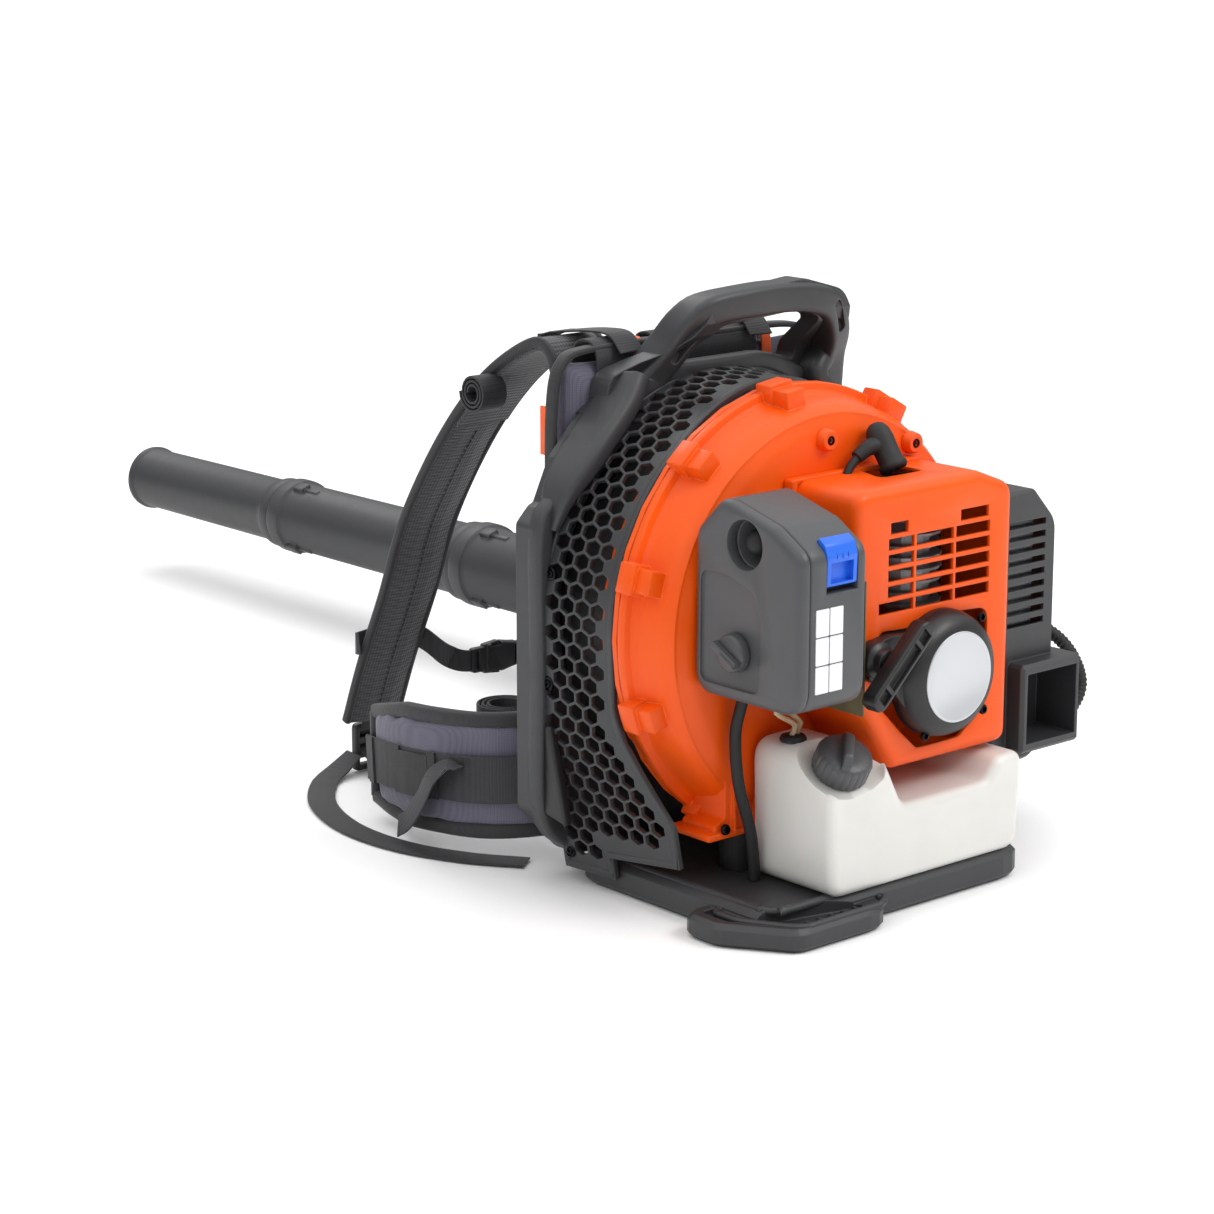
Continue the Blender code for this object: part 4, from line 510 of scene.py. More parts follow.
# %% [markdown]
# ## Free webbing tail
# The left strap is pulled tight by its tail: 25 mm nylon webbing that leaves the adjuster, drops
# to the ground and lies there on its flat side in one loose curve. A flat section is carried
# along a smooth route, because a round cord could not show the flat tape.

# %% Webbing tail
STRAP_X = 0.086
TAIL_Z = 0.002
tail_points = [(-STRAP_X - 0.0175, 0.4005, 0.018), (-STRAP_X - 0.034, 0.400, 0.008),
               (-0.150, 0.384, TAIL_Z), (-0.190, 0.330, TAIL_Z), (-0.212, 0.260, TAIL_Z),
               (-0.210, 0.190, TAIL_Z), (-0.188, 0.130, TAIL_Z), (-0.158, 0.086, TAIL_Z)]
tail_route = smooth_route(tail_points, 0.012)
webbing_tail = stand("webbing_tail_tape", run_along(tail_route, flat_section(0.025, 0.0016), None), tape)
fit(webbing_tail, "machine", "webbing", "webbing_tail")

# %% [markdown]
# ## Fan housing
# Two orange ABS shells clip together at a flange with eight snap tabs. The rear one is a shallow
# dish: a flange, a rolled shoulder with a raised ring, and a slightly coned face that the engine
# bolts to. Spinning its profile in fine steps keeps the rim truly round, and the tabs, foot and
# screw bosses are rounded blocks set into it.

# %% Rear housing shell
FAN_RADIUS = 0.186
FAN_Z = 0.225
SEAM = -0.060
CRANK = Vector((0.042, 0, 0.188))
dish = [(0.0, 0.0520), (0.120, 0.0518), (0.150, 0.0512), (0.157, 0.0500), (0.1635, 0.0465), (0.1650, 0.0462),
        (0.1665, 0.0462), (0.1680, 0.0440), (0.1715, 0.0395), (0.1735, 0.0340), (0.1765, 0.0180),
        (0.1780, 0.0115), (0.1795, 0.0096), (0.1825, 0.0090), (0.1852, 0.0082), (0.1860, 0.0066),
        (0.1860, 0.0006), (0.1750, 0.0006), (0.1740, 0.0110), (0.1680, 0.0370), (0.1560, 0.0480),
        (0.0, 0.0480)]
housing = spun(dish, (0, SEAM, FAN_Z), (0, -1, 0), 160)
TAB_ANGLES = (22, 60, 98, 131, 164, 199, 236)
for angle in TAB_ANGLES:
    turn = -math.radians(angle)
    turned_block((0.1740, -0.0180, -0.0125), (0.1925, -0.0004, 0.0125), (0, SEAM, FAN_Z), turn, shape=housing)
    turned_block((0.1720, -0.0340, -0.0100), (0.1885, -0.0160, 0.0100), (0, SEAM, FAN_Z), turn, shape=housing)
shell = stand("fan_housing_rear_shell", housing, orange_abs)
shell = rounded(shell, 0.0016, 2, 60)
start = math.sqrt((FAN_RADIUS - 0.040) ** 2 - (FAN_Z - 0.102) ** 2)
spout = stand("fan_outlet_spout", spun(
    [(0.034, start), (0.037, start), (0.037, 0.166), (0.0365, 0.1705), (0.034, 0.1715)],
    (0, -0.062, 0.102), (1, 0, 0), 72), orange_abs)
fit(shell, "machine", "orange_abs", "fan_housing_rear")
fit(spout, "machine", "orange_abs")

# %% Housing foot, gussets and screw bosses
foot = slab(outline((-0.124, 0.0625, 0.004), (-0.030, 0.0625, 0.004), (-0.030, 0.072, 0.002),
                    (-0.046, 0.076, 0.006), (-0.048, 0.150, 0), (-0.112, 0.150, 0), (-0.112, 0.076, 0.004),
                    (-0.124, 0.071, 0.002)), "Y", -0.1075, -0.070)
slab(outline((-0.134, 0.0610, 0.003), (-0.026, 0.0610, 0.003), (-0.026, 0.0665, 0.002),
             (-0.134, 0.0665, 0.002)), "Y", -0.1120, -0.064, foot)
for rib_x in (-0.104, -0.080, -0.056):
    slab([(-0.1125, 0.064), (-0.1065, 0.064), (-0.1065, 0.132), (-0.1085, 0.132)], "X", rib_x - 0.0014,
         rib_x + 0.0014, foot)
housing_foot = rounded(stand("fan_housing_foot", foot, orange_abs), 0.0014, 2)
fit(housing_foot, "machine", "orange_abs")
bosses = bmesh.new()
BOSS_SPOTS = ((-0.103, 0.317, -0.1124), (-0.010, 0.372, -0.1124), (0.088, 0.358, -0.1124))
for boss_x, boss_z, boss_y in BOSS_SPOTS:
    spun([(0.0, 0.0), (0.0095, 0.0), (0.0085, 0.0065), (0.0075, 0.0078), (0.0045, 0.0078), (0.0, 0.0060)],
         (boss_x, boss_y + 0.0015, boss_z), (0, -1, 0), 40, bosses)
fit(stand("fan_housing_bosses", bosses, orange_abs), "machine", "orange_abs")

# %% [markdown]
# Torx screws hold every cover. Each is a low round head with a six-lobed socket. One function
# spins the head and sinks the socket as a real hole, since a flat disc reads as a dot.

# %% Screws
screws = bmesh.new()


def torx(spot, way, radius=0.0042):
    """A screw head at spot, facing way, with a six-lobed socket."""
    way = Vector(way).normalized()
    turn = Matrix.Translation(Vector(spot)) @ way.to_track_quat("Z", "Y").to_matrix().to_4x4()
    rings = [(1.0, 0.0, 0), (1.0, 0.34, 0), (0.86, 0.55, 0), (0.62, 0.60, 1), (0.58, 0.58, 1),
             (0.55, 0.12, 1)]
    made = []
    for size, height, lobed in rings:
        ring = []
        for k in range(36):
            angle = 2 * math.pi * k / 36
            reach = radius * size * (1 + 0.13 * lobed * math.cos(6 * angle))
            ring.append(screws.verts.new(turn @ Vector((reach * math.cos(angle), reach * math.sin(angle),
                                                        height * radius))))
        made.append(ring)
    faces = [screws.faces.new(list(reversed(made[0]))), screws.faces.new(made[-1])]
    for a, b in zip(made, made[1:]):
        for k in range(36):
            faces.append(screws.faces.new((a[k], a[(k + 1) % 36], b[(k + 1) % 36], b[k])))
    bmesh.ops.recalc_face_normals(screws, faces=faces)


for boss_x, boss_z, boss_y in BOSS_SPOTS:
    torx((boss_x, boss_y - 0.0046, boss_z), (0, -1, 0), 0.0040)
torx((-0.116, -0.1120, 0.0690), (0, -1, 0.2), 0.0045)
torx((-0.092, -0.1080, 0.0860), (0, -1, 0), 0.0045)

# %% [markdown]
# ## Engine shroud
# The shroud is one deep ABS moulding with soft 8 mm edges. Its window is cut right through into
# thin louvres crossed by two upright bars, so that the fins show behind them, and the starter
# sits in a recess that leaves a narrow orange frame. The window and recess are real cuts.

# %% Engine shroud
SHROUD_REAR = -0.190
shroud_low = 0.114
shroud_outline = outline((-0.006, shroud_low, 0.012), (0.129, shroud_low, 0.012), (0.129, 0.330, 0.016),
                         (0.090, 0.345, 0.016), (-0.052, 0.345, 0.014), (-0.052, 0.184, 0.012))
cover = rounded(stand("engine_shroud_cover", slab(shroud_outline, "Y", SHROUD_REAR, -0.1123), orange_abs),
                0.009, 5, 60)
inside = outline((-0.002, shroud_low + 0.003, 0.010), (0.126, shroud_low + 0.003, 0.010),
                 (0.126, 0.327, 0.012),
                 (0.089, 0.342, 0.012), (-0.049, 0.342, 0.012), (-0.049, 0.187, 0.010))
carve(cover, stand("tool", slab(inside, "Y", SHROUD_REAR + 0.0035, -0.10)))
louvres = bmesh.new()
LOUVRE_LOW = 0.244
LOUVRE_PITCH = 0.0127
for row in range(6):
    z = LOUVRE_LOW + row * LOUVRE_PITCH
    left, right = (-0.016 if row else -0.026), 0.101
    runs = [(left, 0.013), (0.0155, 0.0585), (0.061, right)]
    if row == 5:
        runs = [(-0.014, 0.006), (0.066, 0.099)]
    elif row == 4:
        runs = [(-0.016, 0.013), (0.0155, 0.0585), (0.061, right)]
    for a, b in runs:
        block((a, -0.20, z), (b, -0.180, z + 0.0094), louvres)
carve(cover, stand("tool", louvres))
carve(cover, stand("tool", slab(outline(
    (-0.026, 0.172, 0.008), (0.000, 0.146, 0.010), (0.020, 0.128, 0.010), (0.070, 0.128, 0.010),
    (0.1005, 0.150, 0.020), (0.1005, 0.232, 0.012), (0.030, 0.236, 0.006), (0.010, 0.229, 0.006),
    (-0.026, 0.231, 0.008)), "Y", -0.21, -0.1830)))
carve(cover, stand("tool", slab(outline((0.008, -0.156, 0.008), (0.058, -0.156, 0.008),
                                        (0.058, -0.118, 0.008),
                                        (0.020, -0.118, 0.008)), "Z", 0.33, 0.36)))
cover = rounded(cover, 0.0007, 2, 60)
fit(cover, "machine", "orange_abs", "engine_shroud")
lip = bmesh.new()
slab(outline((-0.056, 0.3465, 0.004), (-0.056, 0.322, 0.004), (-0.050, 0.322, 0.004), (-0.050, 0.343, 0.004),
             (0.088, 0.343, 0.004), (0.088, 0.3475, 0.002)), "Y", -0.1225, -0.1123, lip)
fit(rounded(stand("engine_shroud_mating_lip", lip, orange_abs), 0.0012, 2), "machine", "orange_abs")
baffle = stand("engine_air_baffle", block((-0.045, -0.1150, 0.19), (0.125, -0.1135, 0.335)), black_nylon)
fit(rounded(baffle, 0.0005, 1), "machine", "black_nylon")

# %% [markdown]
# ## Recoil starter
# A black nylon pot holds the rope pulley. A plain light badge disc sits on its face, and the pull
# handle is a long hollow-backed bar that rests across the rope guide. The bar's pockets are cut,
# because the ladder of dark windows is what makes it read as a starter handle.

# %% Starter pot, badge and pull handle
pot = spun([(0.0, -0.2125), (0.036, -0.2140), (0.040, -0.2135), (0.0475, -0.2085), (0.0505, -0.2020),
            (0.052, -0.1960), (0.052, -0.1880), (0.049, -0.1880), (0.049, -0.2000), (0.0, -0.2100)],
           (CRANK.x, 0, CRANK.z), (0, 1, 0), 96)
slab(outline((-0.046, 0.196, 0.012), (-0.020, 0.186, 0.006), (0.010, 0.150, 0.010), (0.020, 0.226, 0.010),
             (-0.020, 0.229, 0.012), (-0.048, 0.224, 0.012)), "Y", -0.2005, -0.1885, pot)
spun([(0.0, 0.0115), (0.0055, 0.0115), (0.0095, 0.0095), (0.0110, 0.004), (0.0150, 0.0015), (0.0155, -0.010),
      (0.0, -0.010)],
     (-0.036, -0.2010, 0.212), (0, -1, 0), 48, pot)
starter_pot = rounded(stand("starter_pot", pot, black_nylon), 0.0012, 2, 50)
fit(starter_pot, "machine", "black_nylon", "starter_housing")
for spot in ((0.083, 0.228), (0.020, 0.140), (0.088, 0.150)):
    torx((spot[0], -0.1985, spot[1]), (0, -1, 0), 0.0042)
badge_face = moulded("brushed_badge_foil", "CFD1D4", "C4C6CA", "E6E7E9", 0.34,
                     {"IOR": 1.5, "Metallic": 0.35}, 0.4, 0.03)
badge = stand("starter_badge_disc", spun(
    [(0.0, 0.0), (0.0370, 0.0), (0.0370, 0.0009), (0.0362, 0.0015), (0.0350, 0.0015), (0.0346, 0.0012),
     (0.0, 0.0012)],
    (CRANK.x, -0.2138, CRANK.z), (0, -1, 0), 96), badge_face)
fit(badge, "machine", "cover_nylon")
GRIP_WAY = Vector((0.72, 0, 0.69)).normalized()
grip_spot = Matrix.Translation((-0.036, -0.222, 0.212)) @ Matrix.Rotation(-math.atan2(GRIP_WAY.z, GRIP_WAY.x),
                                                                          4, "Y")
bar = stand("starter_pull_handle", slab(outline(
    (-0.042, -0.0050, 0.005), (-0.036, -0.0085, 0.006), (0.036, -0.0085, 0.006), (0.042, -0.0050, 0.005),
    (0.042, 0.0050, 0.005), (0.036, 0.0085, 0.006), (-0.036, 0.0085, 0.006), (-0.042, 0.0050, 0.005)),
    "Y", -0.0075, 0.0075), black_nylon)
bar = rounded(bar, 0.0022, 3, 50)
pockets = bmesh.new()
for a, b in ((-0.035, -0.024), (-0.0205, 0.0205), (0.024, 0.035)):
    block((a, -0.0100, -0.0052), (b, -0.0030, 0.0052), pockets)
carve(bar, stand("tool", pockets))
bar = rounded(bar, 0.0005, 2, 60)
bar.matrix_world = grip_spot
bar.data.transform(grip_spot)
bar.matrix_world = Matrix.Identity(4)
fit(bar, "starter_grip", "black_nylon", "starter_grip")

# %% [markdown]
# ## Spark plug boot
# The rubber boot is a short elbow: a rounded cap over the plug with a fluted skirt, and a wedge
# where the ignition lead enters. It is spun, and the lead is a route that dives into the shroud.

# %% Plug boot and ignition lead
plug_lean = Vector((-0.10, 0.62, 1)).normalized()
plug_seat = Vector((0.042, -0.1473, 0.3340))
boot_shape = spun([(0.0038, 0.0130), (0.0100, 0.0130), (0.0118, 0.0150), (0.0118, 0.0185), (0.0102, 0.0200),
                   (0.0104, 0.0330), (0.0108, 0.0400), (0.0100, 0.0470), (0.0075, 0.0520), (0.0038, 0.0545),
                   (0.0, 0.0550), (0.0, 0.0300), (0.0038, 0.0280)], plug_seat, plug_lean, 48)
cap_centre = plug_seat + plug_lean * 0.036
run_along(smooth_route([cap_centre, cap_centre + Vector((-0.014, 0.002, -0.001)),
                        cap_centre + Vector((-0.026, 0.004, -0.008))], 0.004),
          round_section(0.0080, 20), (0, 1, 0), boot_shape, lambda t: 1 - 0.32 * t)
boot = stand("spark_plug_boot_rubber", boot_shape, black_rubber, 55)
fit(boot, "machine", "black_rubber", "spark_plug_boot")
lead_route = smooth_route([cap_centre + Vector((-0.020, 0.003, -0.004)),
                           cap_centre + Vector((-0.034, 0.004, -0.016)),
                           cap_centre + Vector((-0.042, 0.002, -0.030))], 0.004)
fit(stand("ignition_lead", run_along(lead_route, round_section(0.0036, 20), (0, 1, 0)), black_rubber),
    "machine", "black_rubber")

# %% [markdown]
# ## Air filter box
# The box is two grey mouldings: a body bolted to the engine, and a thin cover on its left side
# with a sunk panel. Corners are generous, 9 mm, so both are outlines pulled across the machine
# with wide rounding. The panel, the primer's bowl and the lever's slot are real hollows.

# %% Filter box
FILTER_LEFT = -0.153
FILTER_REAR = -0.232
FILTER_BOTTOM = 0.190
FILTER_TOP = 0.350
PARTING = FILTER_LEFT + 0.010
box_front = -0.1133
filter_side = outline((box_front, FILTER_BOTTOM, 0.018), (box_front, FILTER_TOP - 0.030, 0.016),
                      (box_front - 0.030, FILTER_TOP, 0.018),
                      (FILTER_REAR + 0.030, FILTER_TOP - 0.016, 0.022),
                      (FILTER_REAR, FILTER_TOP - 0.034, 0.016), (FILTER_REAR, FILTER_BOTTOM, 0.024))


def shrunk(points, by):
    """The same outline, stepped inwards."""
    middle = sum((Vector(p) for p in points), Vector((0, 0))) / len(points)
    return [Vector(p) + (middle - Vector(p)).normalized() * by for p in points]


filter_body = stand("filter_box_body", slab(filter_side, "X", PARTING + 0.0005, -0.084), cover_nylon)
filter_body = rounded(filter_body, 0.0022, 3, 60)
primer_spot = Vector((PARTING, -0.170, FILTER_TOP - 0.034))
bowl = [(0.0, 0.0135), (0.0135, 0.0135), (0.0165, 0.0105), (0.0185, 0.0), (0.0215, -0.022), (0.0, -0.022)]
carve(filter_body, stand("tool", spun(bowl, primer_spot, (1, 0, 0), 48)))
lever_left, lever_right = PARTING + 0.018, PARTING + 0.050
carve(filter_body, stand("tool", block((lever_left - 0.0008, FILTER_REAR - 0.01, FILTER_TOP - 0.066),
                                       (lever_right + 0.0008, FILTER_REAR + 0.0125, FILTER_TOP - 0.010))))
filter_body = rounded(filter_body, 0.0008, 2, 60)
fit(filter_body, "machine", "cover_nylon", "filter_housing")
rings = []
cover_shape = bmesh.new()
for depth, by in ((-0.0008, 0.0), (-0.0040, 0.0002), (-0.0062, 0.0012), (-0.0080, 0.0030), (-0.0092, 0.0056),
                  (-0.0097, 0.0085), (-0.0099, 0.0125)):
    rings.append([cover_shape.verts.new((PARTING + depth, p[0], p[1])) for p in shrunk(filter_side, by)])
cover_shape.faces.new(rings[0])
cover_shape.faces.new(list(reversed(rings[-1])))
for a, b in zip(rings, rings[1:]):
    for k in range(len(a)):
        j = (k + 1) % len(a)
        cover_shape.faces.new((a[k], b[k], b[j], a[j]))
bmesh.ops.recalc_face_normals(cover_shape, faces=cover_shape.faces)
filter_cover = stand("filter_box_cover", cover_shape, cover_nylon, 50)
panel = outline((-0.121, 0.201, 0.008), (-0.121, 0.290, 0.010), (-0.150, 0.290, 0.010),
                (-0.180, 0.280, 0.008),
                (-0.188, 0.262, 0.008), (-0.188, 0.201, 0.010))
carve(filter_cover, stand("tool", slab(panel, "X", FILTER_LEFT - 0.01, FILTER_LEFT + 0.0030)))
carve(filter_cover, stand("tool", spun(bowl, primer_spot, (1, 0, 0), 48)))
filter_cover = rounded(filter_cover, 0.0012, 2, 55)
fit(filter_cover, "machine", "cover_nylon", "filter_cover")

# %% Knob, primer bulb and choke lever
KNOB = Vector((FILTER_LEFT, -0.160, 0.230))
knob_shape = spun([(0.0, 0.0075), (0.0125, 0.0072), (0.0140, 0.0062), (0.0150, 0.0040), (0.0155, -0.0024),
                   (0.0, -0.0024)],
                  KNOB, (-1, 0, 0), 72)
turned_block((-0.0135, -0.0148, -0.0030), (-0.0050, 0.0148, 0.0030), KNOB, math.radians(28), "X", knob_shape)
knob = rounded(stand("filter_cover_knob", knob_shape, cover_nylon), 0.0011, 3, 50)
carve(knob, stand("tool", turned_block((-0.0150, -0.0150, -0.0007), (-0.0110, 0.0020, 0.0007), KNOB,
                                       math.radians(28), "X")))
fit(knob, "filter_knob", "cover_nylon", "filter_knob")
bulb = stand("primer_bulb_dome", spun(
    [(0.0, 0.0008), (0.0122, 0.0008), (0.0128, 0.0020), (0.0118, 0.0034), (0.0108, 0.0070), (0.0102, 0.0105),
     (0.0082, 0.0140), (0.0052, 0.0162), (0.0022, 0.0172), (0.0, 0.0174)],
    primer_spot + Vector((0.0132, 0, 0)), (-1, 0, 0), 64), black_rubber)
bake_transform(bulb)
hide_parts("primer_bulb")
lever_side = outline((FILTER_REAR + 0.001, FILTER_TOP - 0.061, 0.002),
                     (FILTER_REAR + 0.010, FILTER_TOP - 0.061, 0.002),
                     (FILTER_REAR + 0.010, FILTER_TOP - 0.036, 0.004),
                     (FILTER_REAR + 0.0115, FILTER_TOP - 0.0275, 0.003),
                     (FILTER_REAR + 0.0110, FILTER_TOP - 0.0235, 0.002),
                     (FILTER_REAR + 0.0035, FILTER_TOP - 0.0285, 0.006),
                     (FILTER_REAR + 0.0002, FILTER_TOP - 0.038, 0.005))
lever = rounded(stand("choke_lever_moulding", slab(lever_side, "X", lever_left, lever_right), blue_nylon),
                0.0012, 3, 40)
carve(lever, stand("tool", block((lever_left + 0.004, FILTER_REAR - 0.01, FILTER_TOP - 0.0585),
                                 (lever_right - 0.004, FILTER_REAR + 0.0065, FILTER_TOP - 0.0425))))
for groove in (-0.0060, 0.0, 0.0060):
    middle = (lever_left + lever_right) / 2 + groove
    carve(lever, stand("tool", block((middle - 0.0005, FILTER_REAR - 0.001, FILTER_TOP - 0.0400),
                                     (middle + 0.0005, FILTER_REAR + 0.0012, FILTER_TOP - 0.0330))))
fit(lever, "choke_lever", "blue_nylon", "choke_lever")

# %% [markdown]
# A plain white vinyl strip sits beside the parting line, divided into six blank cells. The blanks
# are thin rounded tiles on a darker backing, and carry no signs.

# %% Blank label strip
label_white = moulded("white_vinyl_label", "E9EAEC", "DFE0E3", "F6F6F7", 0.32, {"IOR": 1.5}, 0.3, 0.02)
tiles = bmesh.new()
for column in range(2):
    for row in range(3):
        low_x = PARTING + 0.0060 + column * 0.0148
        low_z = 0.2080 + row * 0.0222
        slab(outline((low_x, low_z, 0.001), (low_x + 0.0138, low_z, 0.001),
                     (low_x + 0.0138, low_z + 0.0212, 0.001),
                     (low_x, low_z + 0.0212, 0.001), steps=2), "Y", FILTER_REAR - 0.0006,
                     FILTER_REAR + 0.0002, tiles)
fit(stand("blank_label_tiles", tiles, label_white), "machine", "cover_nylon")

# %% [markdown]
# ## Fuel tank and cap
# The tank is blow moulded, so every edge is wide and soft. The saddle shape is pulled front to
# back and rounded by 11 mm. The cap has a fluted rim to grip and a raised tab, and a moulded
# rubber grommet takes both fuel lines through the tank's shoulder.

# %% Tank
TANK_REAR = -0.207
TANK_FRONT = -0.1143
tank_outline = outline((-0.089, 0.0263, 0.016), (0.128, 0.0263, 0.016), (0.132, 0.110, 0.016),
                       (0.102, 0.108, 0.014), (0.088, 0.090, 0.014), (-0.008, 0.090, 0.014),
                       (-0.036, 0.143, 0.018), (-0.092, 0.143, 0.020))
tank = stand("fuel_tank_skin", slab(tank_outline, "Y", TANK_REAR, TANK_FRONT), milky_polyethylene)
tank = rounded(tank, 0.011, 6, 60)
cap_lean = Vector((-0.12, -math.sin(math.radians(32)), math.cos(math.radians(32)))).normalized()
cap_spot = Vector((-0.0605, -0.183, 0.123))
carve(tank, stand("tool", spun([(0.0, 0.0), (0.030, 0.0), (0.036, 0.004), (0.040, 0.05), (0.0, 0.05)],
                               cap_spot, cap_lean, 64)))
tank = rounded(tank, 0.0022, 3, 50)
fit(tank, "machine", "tank_polyethylene", "fuel_tank")
neck = stand("tank_neck", spun([(0.0145, -0.004), (0.0175, -0.004), (0.0175, 0.0105), (0.0165, 0.012),
                                (0.0145, 0.012)],
                               cap_spot, cap_lean, 64), milky_polyethylene)
fit(neck, "machine", "tank_polyethylene")

# %% Cap
turn = Matrix.Translation(cap_spot) @ cap_lean.to_track_quat("Z", "Y").to_matrix().to_4x4()
cap_shape = bmesh.new()
cap_rings = []
for size, height, fluted in ((0.0185, 0.0008, 0), (0.0226, 0.0010, 1), (0.0232, 0.0030, 1),
                             (0.0232, 0.0160, 1),
                             (0.0220, 0.0190, 1), (0.0200, 0.0205, 0), (0.0120, 0.0215, 0),
                             (0.0060, 0.0215, 0)):
    ring = []
    for k in range(144):
        angle = 2 * math.pi * k / 144
        reach = size - fluted * 0.0008 * max(0.0, math.cos(24 * angle)) ** 2
        ring.append(cap_shape.verts.new(turn @ Vector((reach * math.cos(angle), reach * math.sin(angle),
                                                       height))))
    cap_rings.append(ring)
cap_shape.faces.new(list(reversed(cap_rings[0])))
cap_shape.faces.new(cap_rings[-1])
for a, b in zip(cap_rings, cap_rings[1:]):
    for k in range(144):
        cap_shape.faces.new((a[k], a[(k + 1) % 144], b[(k + 1) % 144], b[k]))
bmesh.ops.recalc_face_normals(cap_shape, faces=cap_shape.faces)
cap = stand("fuel_cap_moulding", cap_shape, cover_nylon, 50)
tab_shape = slab(outline((-0.0205, 0.012, 0.002), (0.0205, 0.012, 0.002), (0.0205, 0.024, 0.004),
                         (0.0120, 0.0305, 0.006),
                         (-0.0120, 0.0305, 0.006), (-0.0205, 0.024, 0.004)), "Y", -0.0038, 0.0038)
bmesh.ops.transform(tab_shape, matrix=turn @ Matrix.Rotation(math.radians(60), 4, "Z"), verts=tab_shape.verts)
tab = rounded(stand("fuel_cap_tab", tab_shape, cover_nylon), 0.0016, 3, 50)
fit(cap, "fuel_cap", "cover_nylon", "fuel_cap")
fit(tab, "fuel_cap", "cover_nylon")
grommet = stand("tank_grommet", spun([(0.0, -0.001), (0.0105, -0.001), (0.0110, 0.0010), (0.0095, 0.0036),
                                      (0.0072, 0.0044), (0.0, 0.0044)], (-0.073, -0.1443, 0.1428), (0, 0, 1),
                                      48), black_rubber)
fit(grommet, "machine", "black_rubber")

# %% [markdown]
# A black breather hose drops from behind the filter box to the base, and a shorter rubber sleeve
# covers the end of the supply line. Both are round sections carried along smooth routes.

# %% Hoses beside the tank
breather = smooth_route([(-0.112, -0.128, 0.1895), (-0.113, -0.127, 0.176), (-0.115, -0.122, 0.150),
                         (-0.113, -0.124, 0.110), (-0.102, -0.126, 0.070), (-0.097, -0.126, 0.040),
                         (-0.097, -0.126, 0.0265)], 0.005)
fit(stand("breather_hose", run_along(breather, round_section(0.0048, 20), (0, 1, 0)), black_rubber),
    "machine", "black_rubber")
sleeve = smooth_route([(-0.0985, -0.1520, 0.1895), (-0.0985, -0.1520, 0.183), (-0.0960, -0.1510, 0.172)],
                      0.003)
fit(stand("line_sleeve", run_along(sleeve, round_section(0.0036, 20), (0, 1, 0)), black_rubber), "machine",
    "black_rubber")

# %% [markdown]
# ## Honeycomb intake grille
# Air for the fan is drawn through a nylon honeycomb that wraps round the left side and the top.
# It is laid out flat first: a thin sheet, cut by rows of hexagonal prisms about 17 by 14 mm with
# 2 mm struts between them. Then every point is wrapped round the fan. Drawing the holes flat
# keeps the cells even, which cutting a bent sheet would not.

# %% Honeycomb
GRILLE_FRONT = 0.0310
ARC_START, ARC_END = math.radians(64), math.radians(180)
ARC_RADIUS = 0.1865
arc_length = ARC_RADIUS * (ARC_END - ARC_START)
LEG = (Vector((-ARC_RADIUS, FAN_Z)), Vector((-0.1845, 0.140)), Vector((-0.1590, 0.014)))
leg_lengths = [(b - a).length for a, b in zip(LEG, LEG[1:])]
whole_length = arc_length + sum(leg_lengths)


def grille_point(s, t, out):
    """Flat position (along s, back from the frame t, outwards) wrapped round the fan."""
    y = GRILLE_FRONT - t
    if s <= arc_length:
        angle = ARC_START + s / ARC_RADIUS
        radius = ARC_RADIUS + out - 0.07 * t
        return Vector((radius * math.cos(angle), y, FAN_Z + radius * math.sin(angle)))
    s -= arc_length
    part = 0 if s <= leg_lengths[0] else 1
    s -= leg_lengths[0] * part
    a, b = LEG[part], LEG[part + 1]
    along = (b - a).normalized()
    normal = Vector((along.y, -along.x)) if along.y < 0 else Vector((-along.y, along.x))
    if normal.x > 0:
        normal = -normal
    spot = a + along * s + normal * (out - 0.07 * t)
    return Vector((spot.x, y, spot.y))


def grille_width(s):
    """How far back the grille reaches at each point along it."""
    narrow = 0.040 + 0.043 * min(1.0, max(0.0, s / 0.21)) ** 0.7
    low = s - arc_length - 0.055
    flare = 0.052 * min(1.0, max(0.0, low / 0.095)) ** 1.3
    foot = max(0.0, s - (whole_length - 0.026)) / 0.026
    return (narrow + flare) if foot == 0 else 0.058


def flat_sheet(t_low, t_high, s_low, s_high, low, high, steps_s, steps_t, shape):
    """A closed sheet on a fine grid, so that it can bend."""
    layers = []
    for out in (low, high):
        layers.append([[shape.verts.new((s_low + (s_high - s_low) * i / steps_s,
                                         t_low + (t_high(s_low + (s_high - s_low) * i / steps_s) - t_low)
                                         * j / steps_t,
                                         out)) for j in range(steps_t + 1)] for i in range(steps_s + 1)])
    for i in range(steps_s):
        for j in range(steps_t):
            for n, layer in enumerate(layers):
                face = (layer[i][j], layer[i + 1][j], layer[i + 1][j + 1], layer[i][j + 1])
                shape.faces.new(face if n else tuple(reversed(face)))
    bottom, top = layers
    edge = ([(i, 0) for i in range(steps_s)] + [(steps_s, j) for j in range(steps_t)]
            + [(i, steps_t) for i in range(steps_s, 0, -1)] + [(0, j) for j in range(steps_t, 0, -1)])
    for (i, j), (k, m) in zip(edge, edge[1:] + edge[:1]):
        shape.faces.new((bottom[i][j], bottom[k][m], top[k][m], top[i][j]))
    bmesh.ops.recalc_face_normals(shape, faces=shape.faces)
    return shape


